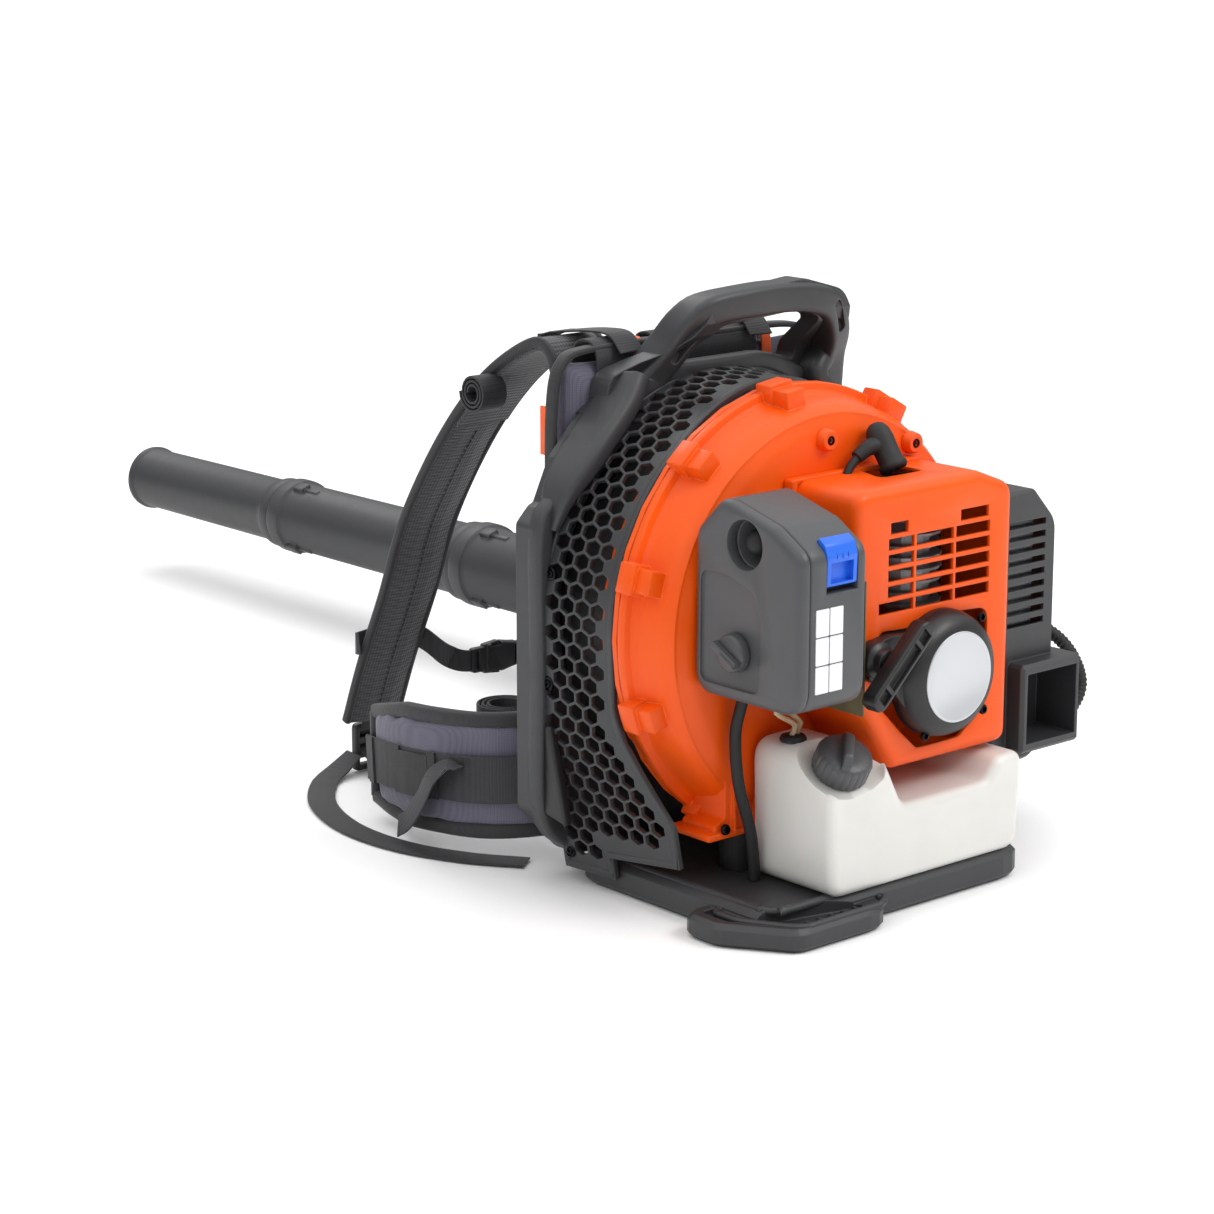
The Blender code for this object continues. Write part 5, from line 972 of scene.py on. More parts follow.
CELL_WIDE, CELL_ROW = 0.0172, 0.0124
STRUT = 0.0011
sheet = stand("intake_honeycomb", flat_sheet(0.0, grille_width, 0.0, whole_length, -0.0020, 0.0020, 110, 10,
                                             bmesh.new()), dark_nylon)
holes = bmesh.new()
count_of_holes = 0
row = 0
s = 0.012
while s < whole_length - 0.010:
    reach = grille_width(s) - 0.0125
    reach = min(reach, grille_width(min(whole_length, s + 0.008)) - 0.0125,
                grille_width(max(0, s - 0.008)) - 0.0125)
    t = 0.0135 + (CELL_WIDE / 2 if row % 2 else 0)
    while t < reach:
        half_wide, half_tall = CELL_WIDE / 2 - STRUT, CELL_ROW * 2 / 3 - STRUT * 1.15
        corners = [(s + half_tall, t), (s + half_tall / 2, t + half_wide), (s - half_tall / 2, t + half_wide),
                   (s - half_tall, t), (s - half_tall / 2, t - half_wide), (s + half_tall / 2, t - half_wide)]
        slab(corners, "Z", -0.006, 0.006, holes)
        count_of_holes += 1
        t += CELL_WIDE
    s += CELL_ROW
    row += 1
carve(sheet, stand("tool", holes))
rim = bmesh.new()
edge_line = ([(whole_length * k / 80, 0.0034) for k in range(81)]
             + [(whole_length * (1 - k / 80),
                 grille_width(whole_length * (1 - k / 80)) - 0.0034) for k in range(81)])
for v in sheet.data.vertices:
    v.co = grille_point(v.co.x, v.co.y, v.co.z)
edge_route = [grille_point(min(max(s, 0.004), whole_length - 0.004), t, 0.0012) for s, t in edge_line]
rim_rings = []
for i, point in enumerate(edge_route):
    before, after = edge_route[i - 1], edge_route[(i + 1) % len(edge_route)]
    ahead = (after - before).normalized() if (after - before).length > 1e-6 else Vector((0, 1, 0))
    out = Vector((point.x, 0, point.z - FAN_Z)).normalized() if point.z > FAN_Z else Vector((-1, 0,
                                                                                             -0.1)).normalized()
    out = (out - ahead * out.dot(ahead)).normalized()
    across = ahead.cross(out)
    rim_rings.append([rim.verts.new(point + across * u + out * v)
                      for u, v in outline((-0.0030, -0.003, 0.001), (0.0030, -0.003, 0.001),
                                          (0.0030, 0.0016, 0.0012),
                                          (-0.0030, 0.0016, 0.0012), steps=2)])
for i in range(len(rim_rings)):
    a, b = rim_rings[i - 1], rim_rings[i]
    for k in range(len(a)):
        j = (k + 1) % len(a)
        rim.faces.new((a[k], a[j], b[j], b[k]))
bmesh.ops.recalc_face_normals(rim, faces=rim.faces)
grille_rim = stand("intake_honeycomb_rim", rim, dark_nylon, 50)
sheet.data.shade_flat()
fit(sheet, "machine", "frame_nylon", "intake_grille")
fit(grille_rim, "machine", "frame_nylon")
print("grille cells:", count_of_holes)

# %% Grille screws, wedge clip and dark fan cage
for s in (arc_length - 0.040, arc_length + 0.050, whole_length - 0.016):
    spot = grille_point(s, 0.0085, 0.0020)
    spun([(0.0, -0.002), (0.0062, -0.002), (0.0062, 0.0005), (0.0052, 0.0012), (0.0046, 0.0), (0.0, 0.0)],
         spot, (-1, 0, 0.02), 32, screws)
    torx(spot + Vector((0.0003, 0, 0)), (-1, 0, 0.02), 0.0034)
wedge = slab([(0.0305, 0.140), (0.0290, 0.066), (-0.0010, 0.060), (0.0180, 0.140)], "X", -0.1895, -0.1800)
fit(rounded(stand("grille_wedge_clip", wedge, black_nylon), 0.0025, 3), "machine", "black_nylon")
cage = stand("fan_front_cage", spun(
    [(0.160, -0.052), (0.166, -0.050), (0.168, 0.020), (0.166, 0.030), (0.160, 0.030), (0.158, -0.040)],
    (0, 0, FAN_Z), (0, 1, 0), 96), black_nylon)
fit(cage, "machine", "black_nylon")

# %% [markdown]
# ## Back frame
# The frame is one glass-filled moulding that is thick at its edges and thin between them. The
# carved plate keeps its CAD mesh. A rounded border bead follows its outline, and the carrying
# handle is an oval bar swept along the hoop, leaning back over the fan. Its legs have long
# pockets, as thick plastic is cored out so that it cools evenly.

# %% Border bead and handle
FRAME_REAR = 0.032
plate = [(-0.150, 0.030), (-0.184, 0.066), (-0.185, 0.180), (-0.185, 0.296), (-0.172, 0.318)]
arch = [(-0.195 * math.cos(a), min(FAN_Z + 0.195 * math.sin(a),
                                   FAN_Z + 0.1875 + max(0.0, 0.6 * (0.195 * abs(math.cos(a)) - 0.058))))
        for a in (math.radians(31 + 118 * k / 24) for k in range(25))]
border = [Vector((u, FRAME_REAR + 0.001, v)) for u, v in plate + arch + [(-u, v) for u, v in reversed(plate)]]
bead = run_along(smooth_route(border, 0.008), outline((-0.0085, -0.008, 0.005), (0.0085, -0.008, 0.005),
                                                      (0.0085, 0.008, 0.005), (-0.0085, 0.008, 0.005),
                                                      steps=4), (0, 1, 0))
fit(stand("back_frame_border", bead, dark_nylon, 60), "machine", "frame_nylon")
hoop = smooth_route([Vector(p) for p in (
    (-0.118, 0.044, 0.374), (-0.088, 0.044, 0.394), (-0.065, 0.040, 0.413), (-0.052, 0.028, 0.435),
    (-0.045, 0.016, 0.453),
    (-0.033, 0.006, 0.4650), (0.000, 0.002, 0.4690), (0.040, 0.002, 0.4700), (0.075, 0.002, 0.4670),
    (0.099, 0.005, 0.4580),
    (0.118, 0.016, 0.4360), (0.128, 0.032, 0.4110), (0.134, 0.042, 0.3770))], 0.006)
handle = stand("carrying_handle", run_along(
    hoop, outline((-0.0155, -0.0125, 0.007), (0.0155, -0.0125, 0.007), (0.0155, 0.0125, 0.007),
                  (-0.0155, 0.0125, 0.007), steps=6),
    (0, 1, 0), None, lambda t: 1.0 + 0.16 * (abs(2 * t - 1) ** 2)), dark_nylon)
for spot, angle, half in ((Vector((-0.050, 0.0130, 0.438)), 1.10, 0.017),
                          (Vector((0.1100, -0.0035, 0.4480)), 2.11, 0.016)):
    pocket = slab(outline((-half, -0.0042, 0.004), (half, -0.0042, 0.004), (half, 0.0042, 0.004),
                          (-half, 0.0042, 0.004)),
                  "Y", -0.020, 0.006)
    bmesh.ops.transform(pocket, matrix=Matrix.Translation(spot) @ Matrix.Rotation(-angle, 4, "Y"),
                        verts=pocket.verts)
    carve(handle, stand("tool", pocket))
    torx(spot + Vector((0, 0.0045, 0)), (0, -1, 0.1), 0.0036)
handle = rounded(handle, 0.0008, 2, 60)
fit(handle, "machine", "frame_nylon")
shoulders = bmesh.new()
for side in (-1, 1):
    ridge = smooth_route([Vector((side * 0.178, FRAME_REAR - 0.002, 0.300)),
                          Vector((side * 0.168, FRAME_REAR - 0.004, 0.330)),
                          Vector((side * 0.140, FRAME_REAR - 0.004, 0.362)),
                          Vector((side * 0.108, FRAME_REAR - 0.001, 0.392)),
                          Vector((side * (0.092 if side < 0 else 0.120), FRAME_REAR + 0.004, 0.412))], 0.006)
    run_along(ridge, outline((-0.019, -0.008, 0.007), (0.019, -0.008, 0.007), (0.019, 0.008, 0.007),
                             (-0.019, 0.008, 0.007), steps=4), (0, 1, 0), shoulders,
                             lambda t: 0.45 + 0.75 * math.sin(math.pi * min(t, 0.5)))
fit(stand("back_frame_shoulders", shoulders, dark_nylon, 60), "machine", "frame_nylon")

# %% [markdown]
# ## Base deck
# The deck keeps its CAD mesh, with a rolled bead round the top edge, and ribs in the dished
# footrest that stop a boot from slipping.

# %% Deck bead and footrest ribs
deck_edge = outline((-0.143, 0.020, 0.016), (-0.143, -0.196, 0.024), (0.133, -0.196, 0.024),
                    (0.133, 0.020, 0.016), steps=8)
bead_route = smooth_route([Vector((p[0], p[1], 0.0258)) for p in deck_edge + deck_edge[:1]], 0.006)
deck_bead = run_along(bead_route, round_section(0.0036, 14), (0, 0, 1))
toe_edge = outline((-0.160, -0.140, 0.010), (-0.160, -0.174, 0.020), (-0.134, -0.2200, 0.020),
                   (-0.046, -0.2200, 0.020),
                   (-0.030, -0.207, 0.004), steps=6)
run_along(smooth_route([Vector((p[0], p[1], 0.0185)) for p in toe_edge], 0.005), round_section(0.0030, 12),
          (0, 0, 1), deck_bead)
for k in range(6):
    x = -0.132 + 0.013 * k
    slab([(-0.2125, 0.0140), (-0.2065, 0.0140), (-0.2065, 0.0178), (-0.2125, 0.0178)], "X", x, x + 0.0030,
         deck_bead)
for x in (-0.120, 0.110):
    spun([(0.0, 0.0255), (0.011, 0.0255), (0.011, 0.0275), (0.009, 0.0290), (0.0045, 0.0290), (0.0, 0.0275)],
         (x, 0.002, 0), (0, 0, 1), 40, deck_bead)
fit(stand("base_deck_beads", deck_bead, dark_nylon, 50), "machine", "frame_nylon")

# %% [markdown]
# ## Blower tube
# Three thin-walled nylon pipes push into one another and lock with a quarter turn on small lugs.
# They are spun in fine steps so that they look round, with a rolled lip at the mouth.

# %% Pipes
TUBE = Vector((0.250, 0, 0.102))
PIPES = (
    ("swivel_pipe", [(0.0375, 0.302), (0.0400, 0.302), (0.0400, 0.632), (0.0415, 0.6345), (0.0440, 0.636),
                     (0.0444, 0.640),
                     (0.0444, 0.6505), (0.0436, 0.6535), (0.0420, 0.6545), (0.0375, 0.6545)], 0.621, 0.0400),
    ("middle_pipe", [(0.0355, 0.6555), (0.0410, 0.6555), (0.0420, 0.6570), (0.0420, 0.6690), (0.0405, 0.6720),
                     (0.0382, 0.6760),
                     (0.0380, 0.6800), (0.0372, 0.9600), (0.0385, 0.9630), (0.0408, 0.9650), (0.0412, 0.9690),
                     (0.0412, 0.9800),
                     (0.0402, 0.9840), (0.0355, 0.9845)], 0.951, 0.0372),
    ("nozzle_pipe", [(0.0325, 0.9855), (0.0382, 0.9855), (0.0390, 0.9870), (0.0390, 0.9990), (0.0375, 1.0020),
                     (0.0352, 1.0070),
                     (0.0348, 1.0120), (0.0340, 1.2600), (0.0348, 1.2625), (0.0362, 1.2640), (0.0366, 1.2670),
                     (0.0362, 1.2700),
                     (0.0345, 1.2715), (0.0320, 1.2700), (0.0315, 1.2600)], None, 0.0),
)
for name, profile, lug_y, radius in PIPES:
    pipe = spun(profile, TUBE, (0, 1, 0), 120)
    if lug_y:
        for k in range(3):
            turned_block((-0.0065, lug_y - 0.0080, radius - 0.003), (0.0065, lug_y + 0.0090, radius + 0.0050),
                         TUBE,
                         math.radians(100 + 120 * k), shape=pipe)
            turned_block((-0.0030, lug_y - 0.0300, radius - 0.003), (0.0030, lug_y - 0.0070, radius + 0.0022),
                         TUBE,
                         math.radians(100 + 120 * k), shape=pipe)
    made = rounded(stand(name + "_moulding", pipe, dark_nylon), 0.0010, 2, 60)
    fit(made, "blower_tube", "frame_nylon", name)

# %% Elbow, cuff and clamp
route = [Vector((0.172, -0.062, 0.102))] + [Vector((0.173 + 0.077 * math.sin(a),
                                                    -0.062 + 0.077 * (1 - math.cos(a)), 0.102))
                                            for a in (math.pi / 2 * k / 20
                                                      for k in range(21))] + [Vector((0.250, 0.0215, 0.102))]
elbow = run_along(route, round_section(0.0400, 64), (0, 0, 1))
spun([(0.0370, 0.172), (0.0430, 0.172), (0.0430, 0.184), (0.0400, 0.187)], (0, -0.062, 0.102), (1, 0, 0), 96,
     elbow)
spun([(0.0380, 0.006), (0.0425, 0.006), (0.0430, 0.010), (0.0430, 0.0215), (0.0380, 0.0215)], TUBE, (0, 1, 0),
     96, elbow)
fit(stand("outlet_elbow_moulding", elbow, dark_nylon, 50), "machine", "frame_nylon", "outlet_elbow")
cuff = spun([(0.0380, 0.1520), (0.0462, 0.1520), (0.0475, 0.1535), (0.0475, 0.1585), (0.0462, 0.1600),
             (0.0462, 0.1640),
             (0.0475, 0.1655), (0.0475, 0.1705), (0.0462, 0.1720), (0.0380, 0.1720)], TUBE, (0, 1, 0), 96)
fit(stand("hose_cuff_ring", cuff, dark_nylon, 35), "hose_middle", "frame_nylon", "hose_cuff")
clamp = spun([(0.0404, 0.3020), (0.0478, 0.3020), (0.0484, 0.3040), (0.0484, 0.3160), (0.0478, 0.3180),
              (0.0404, 0.3180)],
             TUBE, (0, 1, 0), 96)
turned_block((-0.009, 0.3040, 0.046), (0.009, 0.3160, 0.053), TUBE, math.radians(70), shape=clamp)
fit(rounded(stand("hose_clamp_band", clamp, black_nylon), 0.0010, 2, 50), "blower_tube", "black_nylon",
    "hose_clamp")

# %% [markdown]
# ## Ribbed hose and conduit
# The two hose lengths are rubber bellows that let the tube swing and tilt. Each is a straight
# spun profile with one rib every 8 mm. The throttle conduit is split polyethylene tube with 2 mm
# corrugations, drawn at 4 mm so that they show.

# %% Bellows
for name, start, near, far in (("bellows_hose_rear", 0.022, "machine", "hose_middle"),
                               ("bellows_hose_front", 0.172, "hose_middle", "blower_tube")):
    profile = []
    for k in range(129):
        wave = 0.5 - 0.5 * math.cos(2 * math.pi * 16 * k / 128)
        profile.append((0.0405 + 0.0052 * wave ** 0.7, start + 0.0005 + 0.129 * k / 128))
    profile += [(0.0372, start + 0.1295), (0.0372, start + 0.0005)]
    hose = stand(name + "_rubber", spun(profile, TUBE, (0, 1, 0), 80), black_rubber, 60)
    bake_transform(hose)
    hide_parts(name)
    print(name, "bends between", near, "and", far)

# %% Throttle conduit
LINE_X, LINE_Z = TUBE.x + 0.611 * 0.0556, TUBE.z + 0.791 * 0.0556


def corrugated(route, radius, pitch=0.0040):
    """A conduit whose radius rises and falls along its length."""
    length = sum((b - a).length for a, b in zip(route, route[1:]))
    fine = smooth_route(route, pitch / 6)
    return run_along(fine, round_section(radius, 14), (0, 0, 1), None,
                     lambda t: 0.93 + 0.07 * math.cos(2 * math.pi * t * length / pitch))


conduit_route = [Vector(p) for p in (
    (0.120, -0.080, 0.052), (0.160, -0.104, 0.052), (0.196, -0.106, 0.060), (0.236, -0.100, 0.066),
    (0.296, -0.100, 0.080),
    (0.326, -0.099, 0.108), (0.312, -0.092, 0.146), (0.300, -0.060, 0.163), (LINE_X + 0.004, -0.022, 0.154),
    (LINE_X, 0.008, LINE_Z), (LINE_X, 0.0215, LINE_Z))]
conduit = stand("throttle_conduit_tube", corrugated(conduit_route, 0.0062), black_rubber, 70)
fit(conduit, "machine", "black_rubber", "throttle_conduit")
for name, start, end, near, far in (("conduit_rear_run", 0.022, 0.152, "machine", "hose_middle"),
                                    ("conduit_front_run", 0.1525, 0.302, "hose_middle", "blower_tube")):
    run = stand(name + "_tube", corrugated([Vector((LINE_X, start + (end - start) * k / 4,
                                                    LINE_Z)) for k in range(5)], 0.0062),
                black_rubber, 70)
    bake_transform(run)
    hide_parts(name)
GRIP_Y = 0.430
grip_route = [Vector(p) for p in ((LINE_X, 0.3025, LINE_Z), (LINE_X, 0.312, LINE_Z),
                                  (LINE_X, 0.336, LINE_Z + 0.006),
                                  (0.274, GRIP_Y - 0.030, 0.168), (0.256, GRIP_Y - 0.018, 0.187),
                                  (0.252, GRIP_Y - 0.0112, 0.1925))]
grip_run = stand("conduit_grip_run_tube", corrugated(grip_route, 0.0052), black_rubber, 70)
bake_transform(grip_run)
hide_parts("conduit_grip_run")
clip_ring = spun([(0.0064, -0.004), (0.0088, -0.004), (0.0088, 0.004), (0.0064, 0.004)],
                 (LINE_X, 0.162, LINE_Z), (0, 1, 0), 40)
fit(stand("conduit_clip_cuff", clip_ring, black_nylon), "hose_middle", "black_nylon")

# %% [markdown]
# ## Padded pieces
# The back pad and hip belt are foam in pack cloth, closed by binding tape. Each starts as a
# slightly thin closed form, is remeshed in 5 mm voxels, and is blown up by cloth pressure with
# no gravity, so that it crowns between its seams as stuffed cloth does. A cap on how far a point
# may move keeps it inside the solid that stands for it, and one subdivision smooths it.


# %% Puffing cloth
def puff(made, voxel, cap, pressure=4.0):
    remesh = made.modifiers.new("remesh", "REMESH")
    remesh.mode, remesh.voxel_size = "VOXEL", voxel
    bake(made, 80)
    rest = [v.co.copy() for v in made.data.vertices]
    cloth = made.modifiers.new("cloth", "CLOTH")
    cloth.settings.quality = 5
    cloth.settings.mass = 0.3
    cloth.settings.use_pressure = True
    cloth.settings.uniform_pressure_force = pressure
    cloth.settings.effector_weights.gravity = 0.0
    cloth.point_cache.frame_start, cloth.point_cache.frame_end = 1, 20
    for step in range(1, 21):
        bpy.context.scene.frame_set(step)
    bake(made, 80)
    for v, start in zip(made.data.vertices, rest):
        move = v.co - start
        if move.length > cap:
            v.co = start + move * (cap / move.length)
    bpy.context.scene.frame_set(1)
    fine = made.modifiers.new("fine", "SUBSURF")
    fine.levels = fine.render_levels = 1
    return bake(made, 80)


PAD_REAR, PAD_TOP = 0.058, 0.432
pad_side = outline((PAD_REAR + 0.003, 0.196, 0.006), (PAD_REAR + 0.025, 0.196, 0.010),
                   (PAD_REAR + 0.025, PAD_TOP - 0.034, 0.020),
                   (PAD_REAR + 0.020, PAD_TOP - 0.005, 0.012), (PAD_REAR + 0.004, PAD_TOP - 0.003, 0.010))
pad = puff(stand("back_pad_cushion", slab(pad_side, "X", -0.139, 0.139), pack_cloth), 0.006, 0.006)
for v in pad.data.vertices:
    for seam_z in (0.262, 0.330):
        near = math.exp(-((v.co.z - seam_z) / 0.006) ** 2)
        if v.co.y > 0.074:
            v.co.y -= 0.0055 * near
    for seam_x in (-0.052, 0.052):
        near = math.exp(-((v.co.x - seam_x) / 0.006) ** 2)
        if v.co.y > 0.074:
            v.co.y -= 0.0045 * near
fit(pad, "machine", "pad_cloth", "back_pad")
pad_binding = bmesh.new()
for side in (-1, 1):
    edge = smooth_route([(side * 0.1435, 0.066, 0.200), (side * 0.1450, 0.067, 0.300),
                         (side * 0.1440, 0.067, 0.390),
                         (side * 0.135, 0.0665, 0.424), (side * 0.110, 0.066, 0.4335),
                         (side * 0.02, 0.0655, 0.4345), (0, 0.0655, 0.4345)], 0.006)
    run_along(edge, flat_section(0.013, 0.005, 0.0024), (0, 1, 0), pad_binding)
fit(stand("back_pad_binding", pad_binding, binding, 60), "machine", "webbing")
trims = bmesh.new()
for x in (-0.054, 0.088):
    trim = smooth_route([(x, 0.0630, 0.372), (x, 0.0595, 0.405), (x, 0.0610, 0.428), (x, 0.0680, 0.4372),
                         (x, 0.0800, 0.4340),
                         (x, 0.0880, 0.418), (x, 0.0900, 0.380)], 0.004)
    run_along(trim, flat_section(0.011, 0.0018), (1, 0, 0), trims)
run_along([Vector((-0.1460, 0.0755, z)) for z in (0.350, 0.360, 0.370, 0.380, 0.390)],
          flat_section(0.007, 0.002), (0, 1, 0), trims)
fit(stand("orange_trim_bands", trims, orange_tape, 60), "machine", "webbing")
yokes = bmesh.new()
for x, width in ((-0.084, 0.040), (0.018, 0.112)):
    yoke = smooth_route([(x, 0.0600, 0.360), (x, 0.0572, 0.405), (x, 0.0600, 0.432), (x, 0.0720, 0.4395),
                         (x, 0.0860, 0.434),
                         (x, 0.0915, 0.410)], 0.004)
    run_along(yoke, flat_section(width, 0.0024), (1, 0, 0), yokes)
fit(stand("shoulder_yokes", yokes, tape, 60), "machine", "webbing")

# %% Hip belt
belt_line = [Vector((u, v, 0.080 - 0.105 * (v - 0.0725))) for u, v in (
    (-0.170, 0.274), (-0.180, 0.235), (-0.186, 0.180), (-0.180, 0.118), (-0.150, 0.084), (-0.100, 0.0725),
    (0.100, 0.0725), (0.150, 0.084), (0.180, 0.118), (0.184, 0.180), (0.162, 0.246), (0.134, 0.270))]


def wings(t):
    """The belt narrows towards both of its ends."""
    return 0.80 + 0.20 * min(1.0, 12 * min(t, 1 - t))


belt_route = smooth_route(belt_line, 0.010)
belt = stand("hip_belt_cushion", run_along(belt_route[1:-1], flat_section(0.096, 0.0105, 0.005), (0, 0, 1),
                                           None, wings), pack_cloth)
belt = puff(belt, 0.0055, 0.0050)
fit(belt, "machine", "pad_cloth", "hip_belt")


def beside(route, out, up):
    """The route stepped sideways, away from the wearer, and up."""
    moved = []
    for i, point in enumerate(route):
        ahead = (route[min(i + 1, len(route) - 1)] - route[max(i - 1, 0)]).normalized()
        moved.append(point + Vector((-ahead.y, ahead.x, 0)) * -out + Vector((0, 0, up)))
    return moved


belt_edges = bmesh.new()
for up in (-0.0480, 0.0480):
    edge = [p + Vector((0, 0, up * wings(k / (len(belt_route) - 1)))) for k, p in enumerate(belt_route)]
    run_along(edge, flat_section(0.013, 0.0130, 0.0045), (0, 0, 1), belt_edges)
for end in (0, -1):
    spot = belt_route[end]
    run_along([spot + Vector((0, 0, h)) for h in (-0.038, -0.02, 0.0, 0.02, 0.038)],
              flat_section(0.011, 0.0135, 0.0045),
              (0, 1, 0), belt_edges)
fit(stand("hip_belt_binding", belt_edges, binding, 60), "machine", "webbing")
banded = [p for p in belt_route if p.x < 0.12 or p.y < 0.10]
belt_web = run_along(beside(banded, 0.0100, -0.002), flat_section(0.040, 0.0026), (0, 0, 1))
for k in (1, 6, 11, 19, 40):
    run_along(beside(belt_route[k:k + 2], 0.0122, -0.002), flat_section(0.041, 0.0022), (0, 0, 1), belt_web)
run_along(beside(belt_route[6:12], 0.0126, -0.004), flat_section(0.038, 0.0018), (0, 0, 1), belt_web)
fit(stand("hip_belt_webbing", belt_web, tape, 60), "machine", "webbing")
flap = smooth_route([(-0.1990, 0.122, 0.084), (-0.2040, 0.134, 0.084), (-0.2080, 0.150, 0.072),
                     (-0.2080, 0.166, 0.048),
                     (-0.2060, 0.186, 0.026), (-0.2040, 0.202, 0.016)], 0.005)
fit(stand("hip_belt_flap", run_along(flap, flat_section(0.020, 0.0016), (0.3, 0.95, 0)), tape, 60), "machine",
    "webbing")


def rolled(centre, inner, outer, turns, plane):
    """A strap end rolled up: a spiral route in the plane of two axes."""
    first, second = (Vector(axis) for axis in plane)
    count = int(turns * 20)
    return [Vector(centre) + (inner + (outer - inner) * k / count)
            * (first * math.cos(2 * math.pi * turns * k / count) + second
               * math.sin(2 * math.pi * turns * k / count))
            for k in range(count + 1)]


belt_roll = run_along(rolled((-0.146, 0.126, 0.116), 0.014, 0.027, 3, ((1, 0, 0), (0, 1, 0))),
                      flat_section(0.030, 0.0020), (0, 0, 1))
fit(stand("belt_webbing_roll", belt_roll, tape, 60), "machine", "webbing")
lifter_roll = run_along(rolled((-0.124, 0.180, 0.386), 0.006, 0.0165, 3, ((0, 1, 0), (0, 0, 1))),
                        flat_section(0.026, 0.0020), (1, 0, 0))
fit(stand("lifter_webbing_roll", lifter_roll, tape, 60), "machine", "webbing")

# %% [markdown]
# ## Shoulder straps
# Each strap is a strip of foam in 3-D mesh, 62 mm wide, with tape bound round both edges and a
# row of webbing sewn along its middle. The strap is swept along its own route: a remesh would
# melt its thin edges. It swells and narrows slightly between the sewn bars.

# %% Straps, lifters and sewn bars
strap_routes = {}
for name, side, reach in (("left", -1, 1.0), ("right", 1, 0.80)):
    top = Vector((side * STRAP_X, 0.095, 0.402))
    points = [top, top + Vector((0, 0.010, 0.026)), top + Vector((0, 0.034, 0.030))]
    points += [Vector((side * STRAP_X, 0.100 + y * reach, z)) for y, z in (
        (0.090, 0.396), (0.150, 0.335), (0.205, 0.255), (0.238, 0.180), (0.272, 0.110), (0.296, 0.052))]
    route = smooth_route(points, 0.006)
    strap_routes[name] = route
    section = outline((-0.029, -0.0032, 0.003), (0.029, -0.0032, 0.003), (0.029, 0.0032, 0.003),
                      (0.012, 0.0058, 0.004),
                      (-0.012, 0.0058, 0.004), (-0.029, 0.0032, 0.003), steps=4)
    foam = run_along(route, section, (1, 0, 0), None,
                     lambda t: 1.0 - 0.05 * math.cos(10 * math.pi * t) * (0.15 < t < 0.9))
    strap = stand("shoulder_strap_" + name + "_mesh", foam, air_mesh, 70)
    fit(strap, "machine", "strap_mesh", "shoulder_strap_" + name)
    edges = bmesh.new()
    for across in (-0.0290, 0.0290):
        run_along([p + Vector((across, 0, 0)) for p in route], flat_section(0.0060, 0.0090, 0.0028),
                  (1, 0, 0), edges)
    fit(stand("shoulder_strap_" + name + "_binding", edges, binding, 70), "machine", "webbing")
    web = bmesh.new()
    normals = [Vector((1, 0, 0)).cross((b - a).normalized()) for a, b in zip(route, route[2:])]
    outer = [p + n * 0.0064 for p, n in zip(route[1:], normals)]
    inner = [p - n * 0.0062 for p, n in zip(route[1:], normals)]
    run_along(outer[6:], flat_section(0.025, 0.0016), (1, 0, 0), web)
    for k in range(14, len(outer) - 4, 12):
        run_along(outer[k:k + 2], flat_section(0.026, 0.0030, 0.001), (1, 0, 0), web)
    fit(stand("shoulder_strap_" + name + "_webbing", web, tape, 60), "machine", "webbing")
    flap_end = len(inner) * 36 // 100
    fit(stand("shoulder_strap_" + name + "_flap",
              run_along(inner[3:flap_end], flat_section(0.056, 0.0036, 0.0012), (1, 0, 0)),
              air_mesh, 60), "machine", "strap_mesh")
    thread = bmesh.new()
    for k in range(flap_end + 1, len(inner) - 1):
        a, b = inner[k], inner[k + 1]
        run_along([a + (b - a) * 0.15, a + (b - a) * 0.65], flat_section(0.0012, 0.0022), (1, 0, 0), thread)
    fit(stand("shoulder_strap_" + name + "_stitches", thread, binding, 60), "machine", "webbing")
    lifter = smooth_route([(side * 0.080, 0.148, 0.4345), (side * 0.078, 0.120, 0.4400),
                           (side * 0.076, 0.088, 0.4440),
                           (side * 0.074, 0.064, 0.4430), (side * 0.073, 0.050, 0.4300)], 0.005)
    fit(stand("load_lifter_" + name, run_along(lifter, flat_section(0.025, 0.0018), (1, 0, 0)), tape, 60),
        "machine", "webbing")
    print("strap", name, "is", round(sum((b - a).length for a, b in zip(route, route[1:])), 3), "m long")

# %% Ladder locks at the strap ends
for name, side, reach in (("left", -1, 1.0), ("right", 1, 0.80)):
    end = strap_routes[name][-1]
    lock = stand("ladder_lock_" + name, slab(outline((end.x - 0.0175, 0.0012, 0.004),
                                                     (end.x + 0.0175, 0.0012, 0.004),
                                                     (end.x + 0.0175, 0.046, 0.005),
                                                     (end.x - 0.0175, 0.046, 0.005)),
                                            "Y", end.y + 0.0010, end.y + 0.0090), black_nylon)
    lock = rounded(lock, 0.0018, 3, 50)
    slots = bmesh.new()
    for z in (0.0070, 0.0205, 0.0330):
        block((end.x - 0.0135, end.y - 0.02, z), (end.x + 0.0135, end.y + 0.03, z + 0.0065), slots)
    carve(lock, stand("tool", slots))
    fit(rounded(lock, 0.0008, 2, 60), "machine", "black_nylon", "strap_adjuster_" + name)
    loop = smooth_route([(end.x, end.y - 0.004, 0.058), (end.x, end.y - 0.0005, 0.046),
                         (end.x, end.y + 0.004, 0.038),
                         (end.x, end.y + 0.0105, 0.030), (end.x, end.y + 0.0060, 0.0225),
                         (end.x, end.y - 0.0020, 0.0180),
                         (end.x, end.y - 0.0200, 0.0085), (end.x, end.y - 0.0600, 0.0030)], 0.004)
    fit(stand("lower_webbing_" + name, run_along(loop, flat_section(0.024, 0.0016), (1, 0, 0)), tape, 60),
        "machine", "webbing")

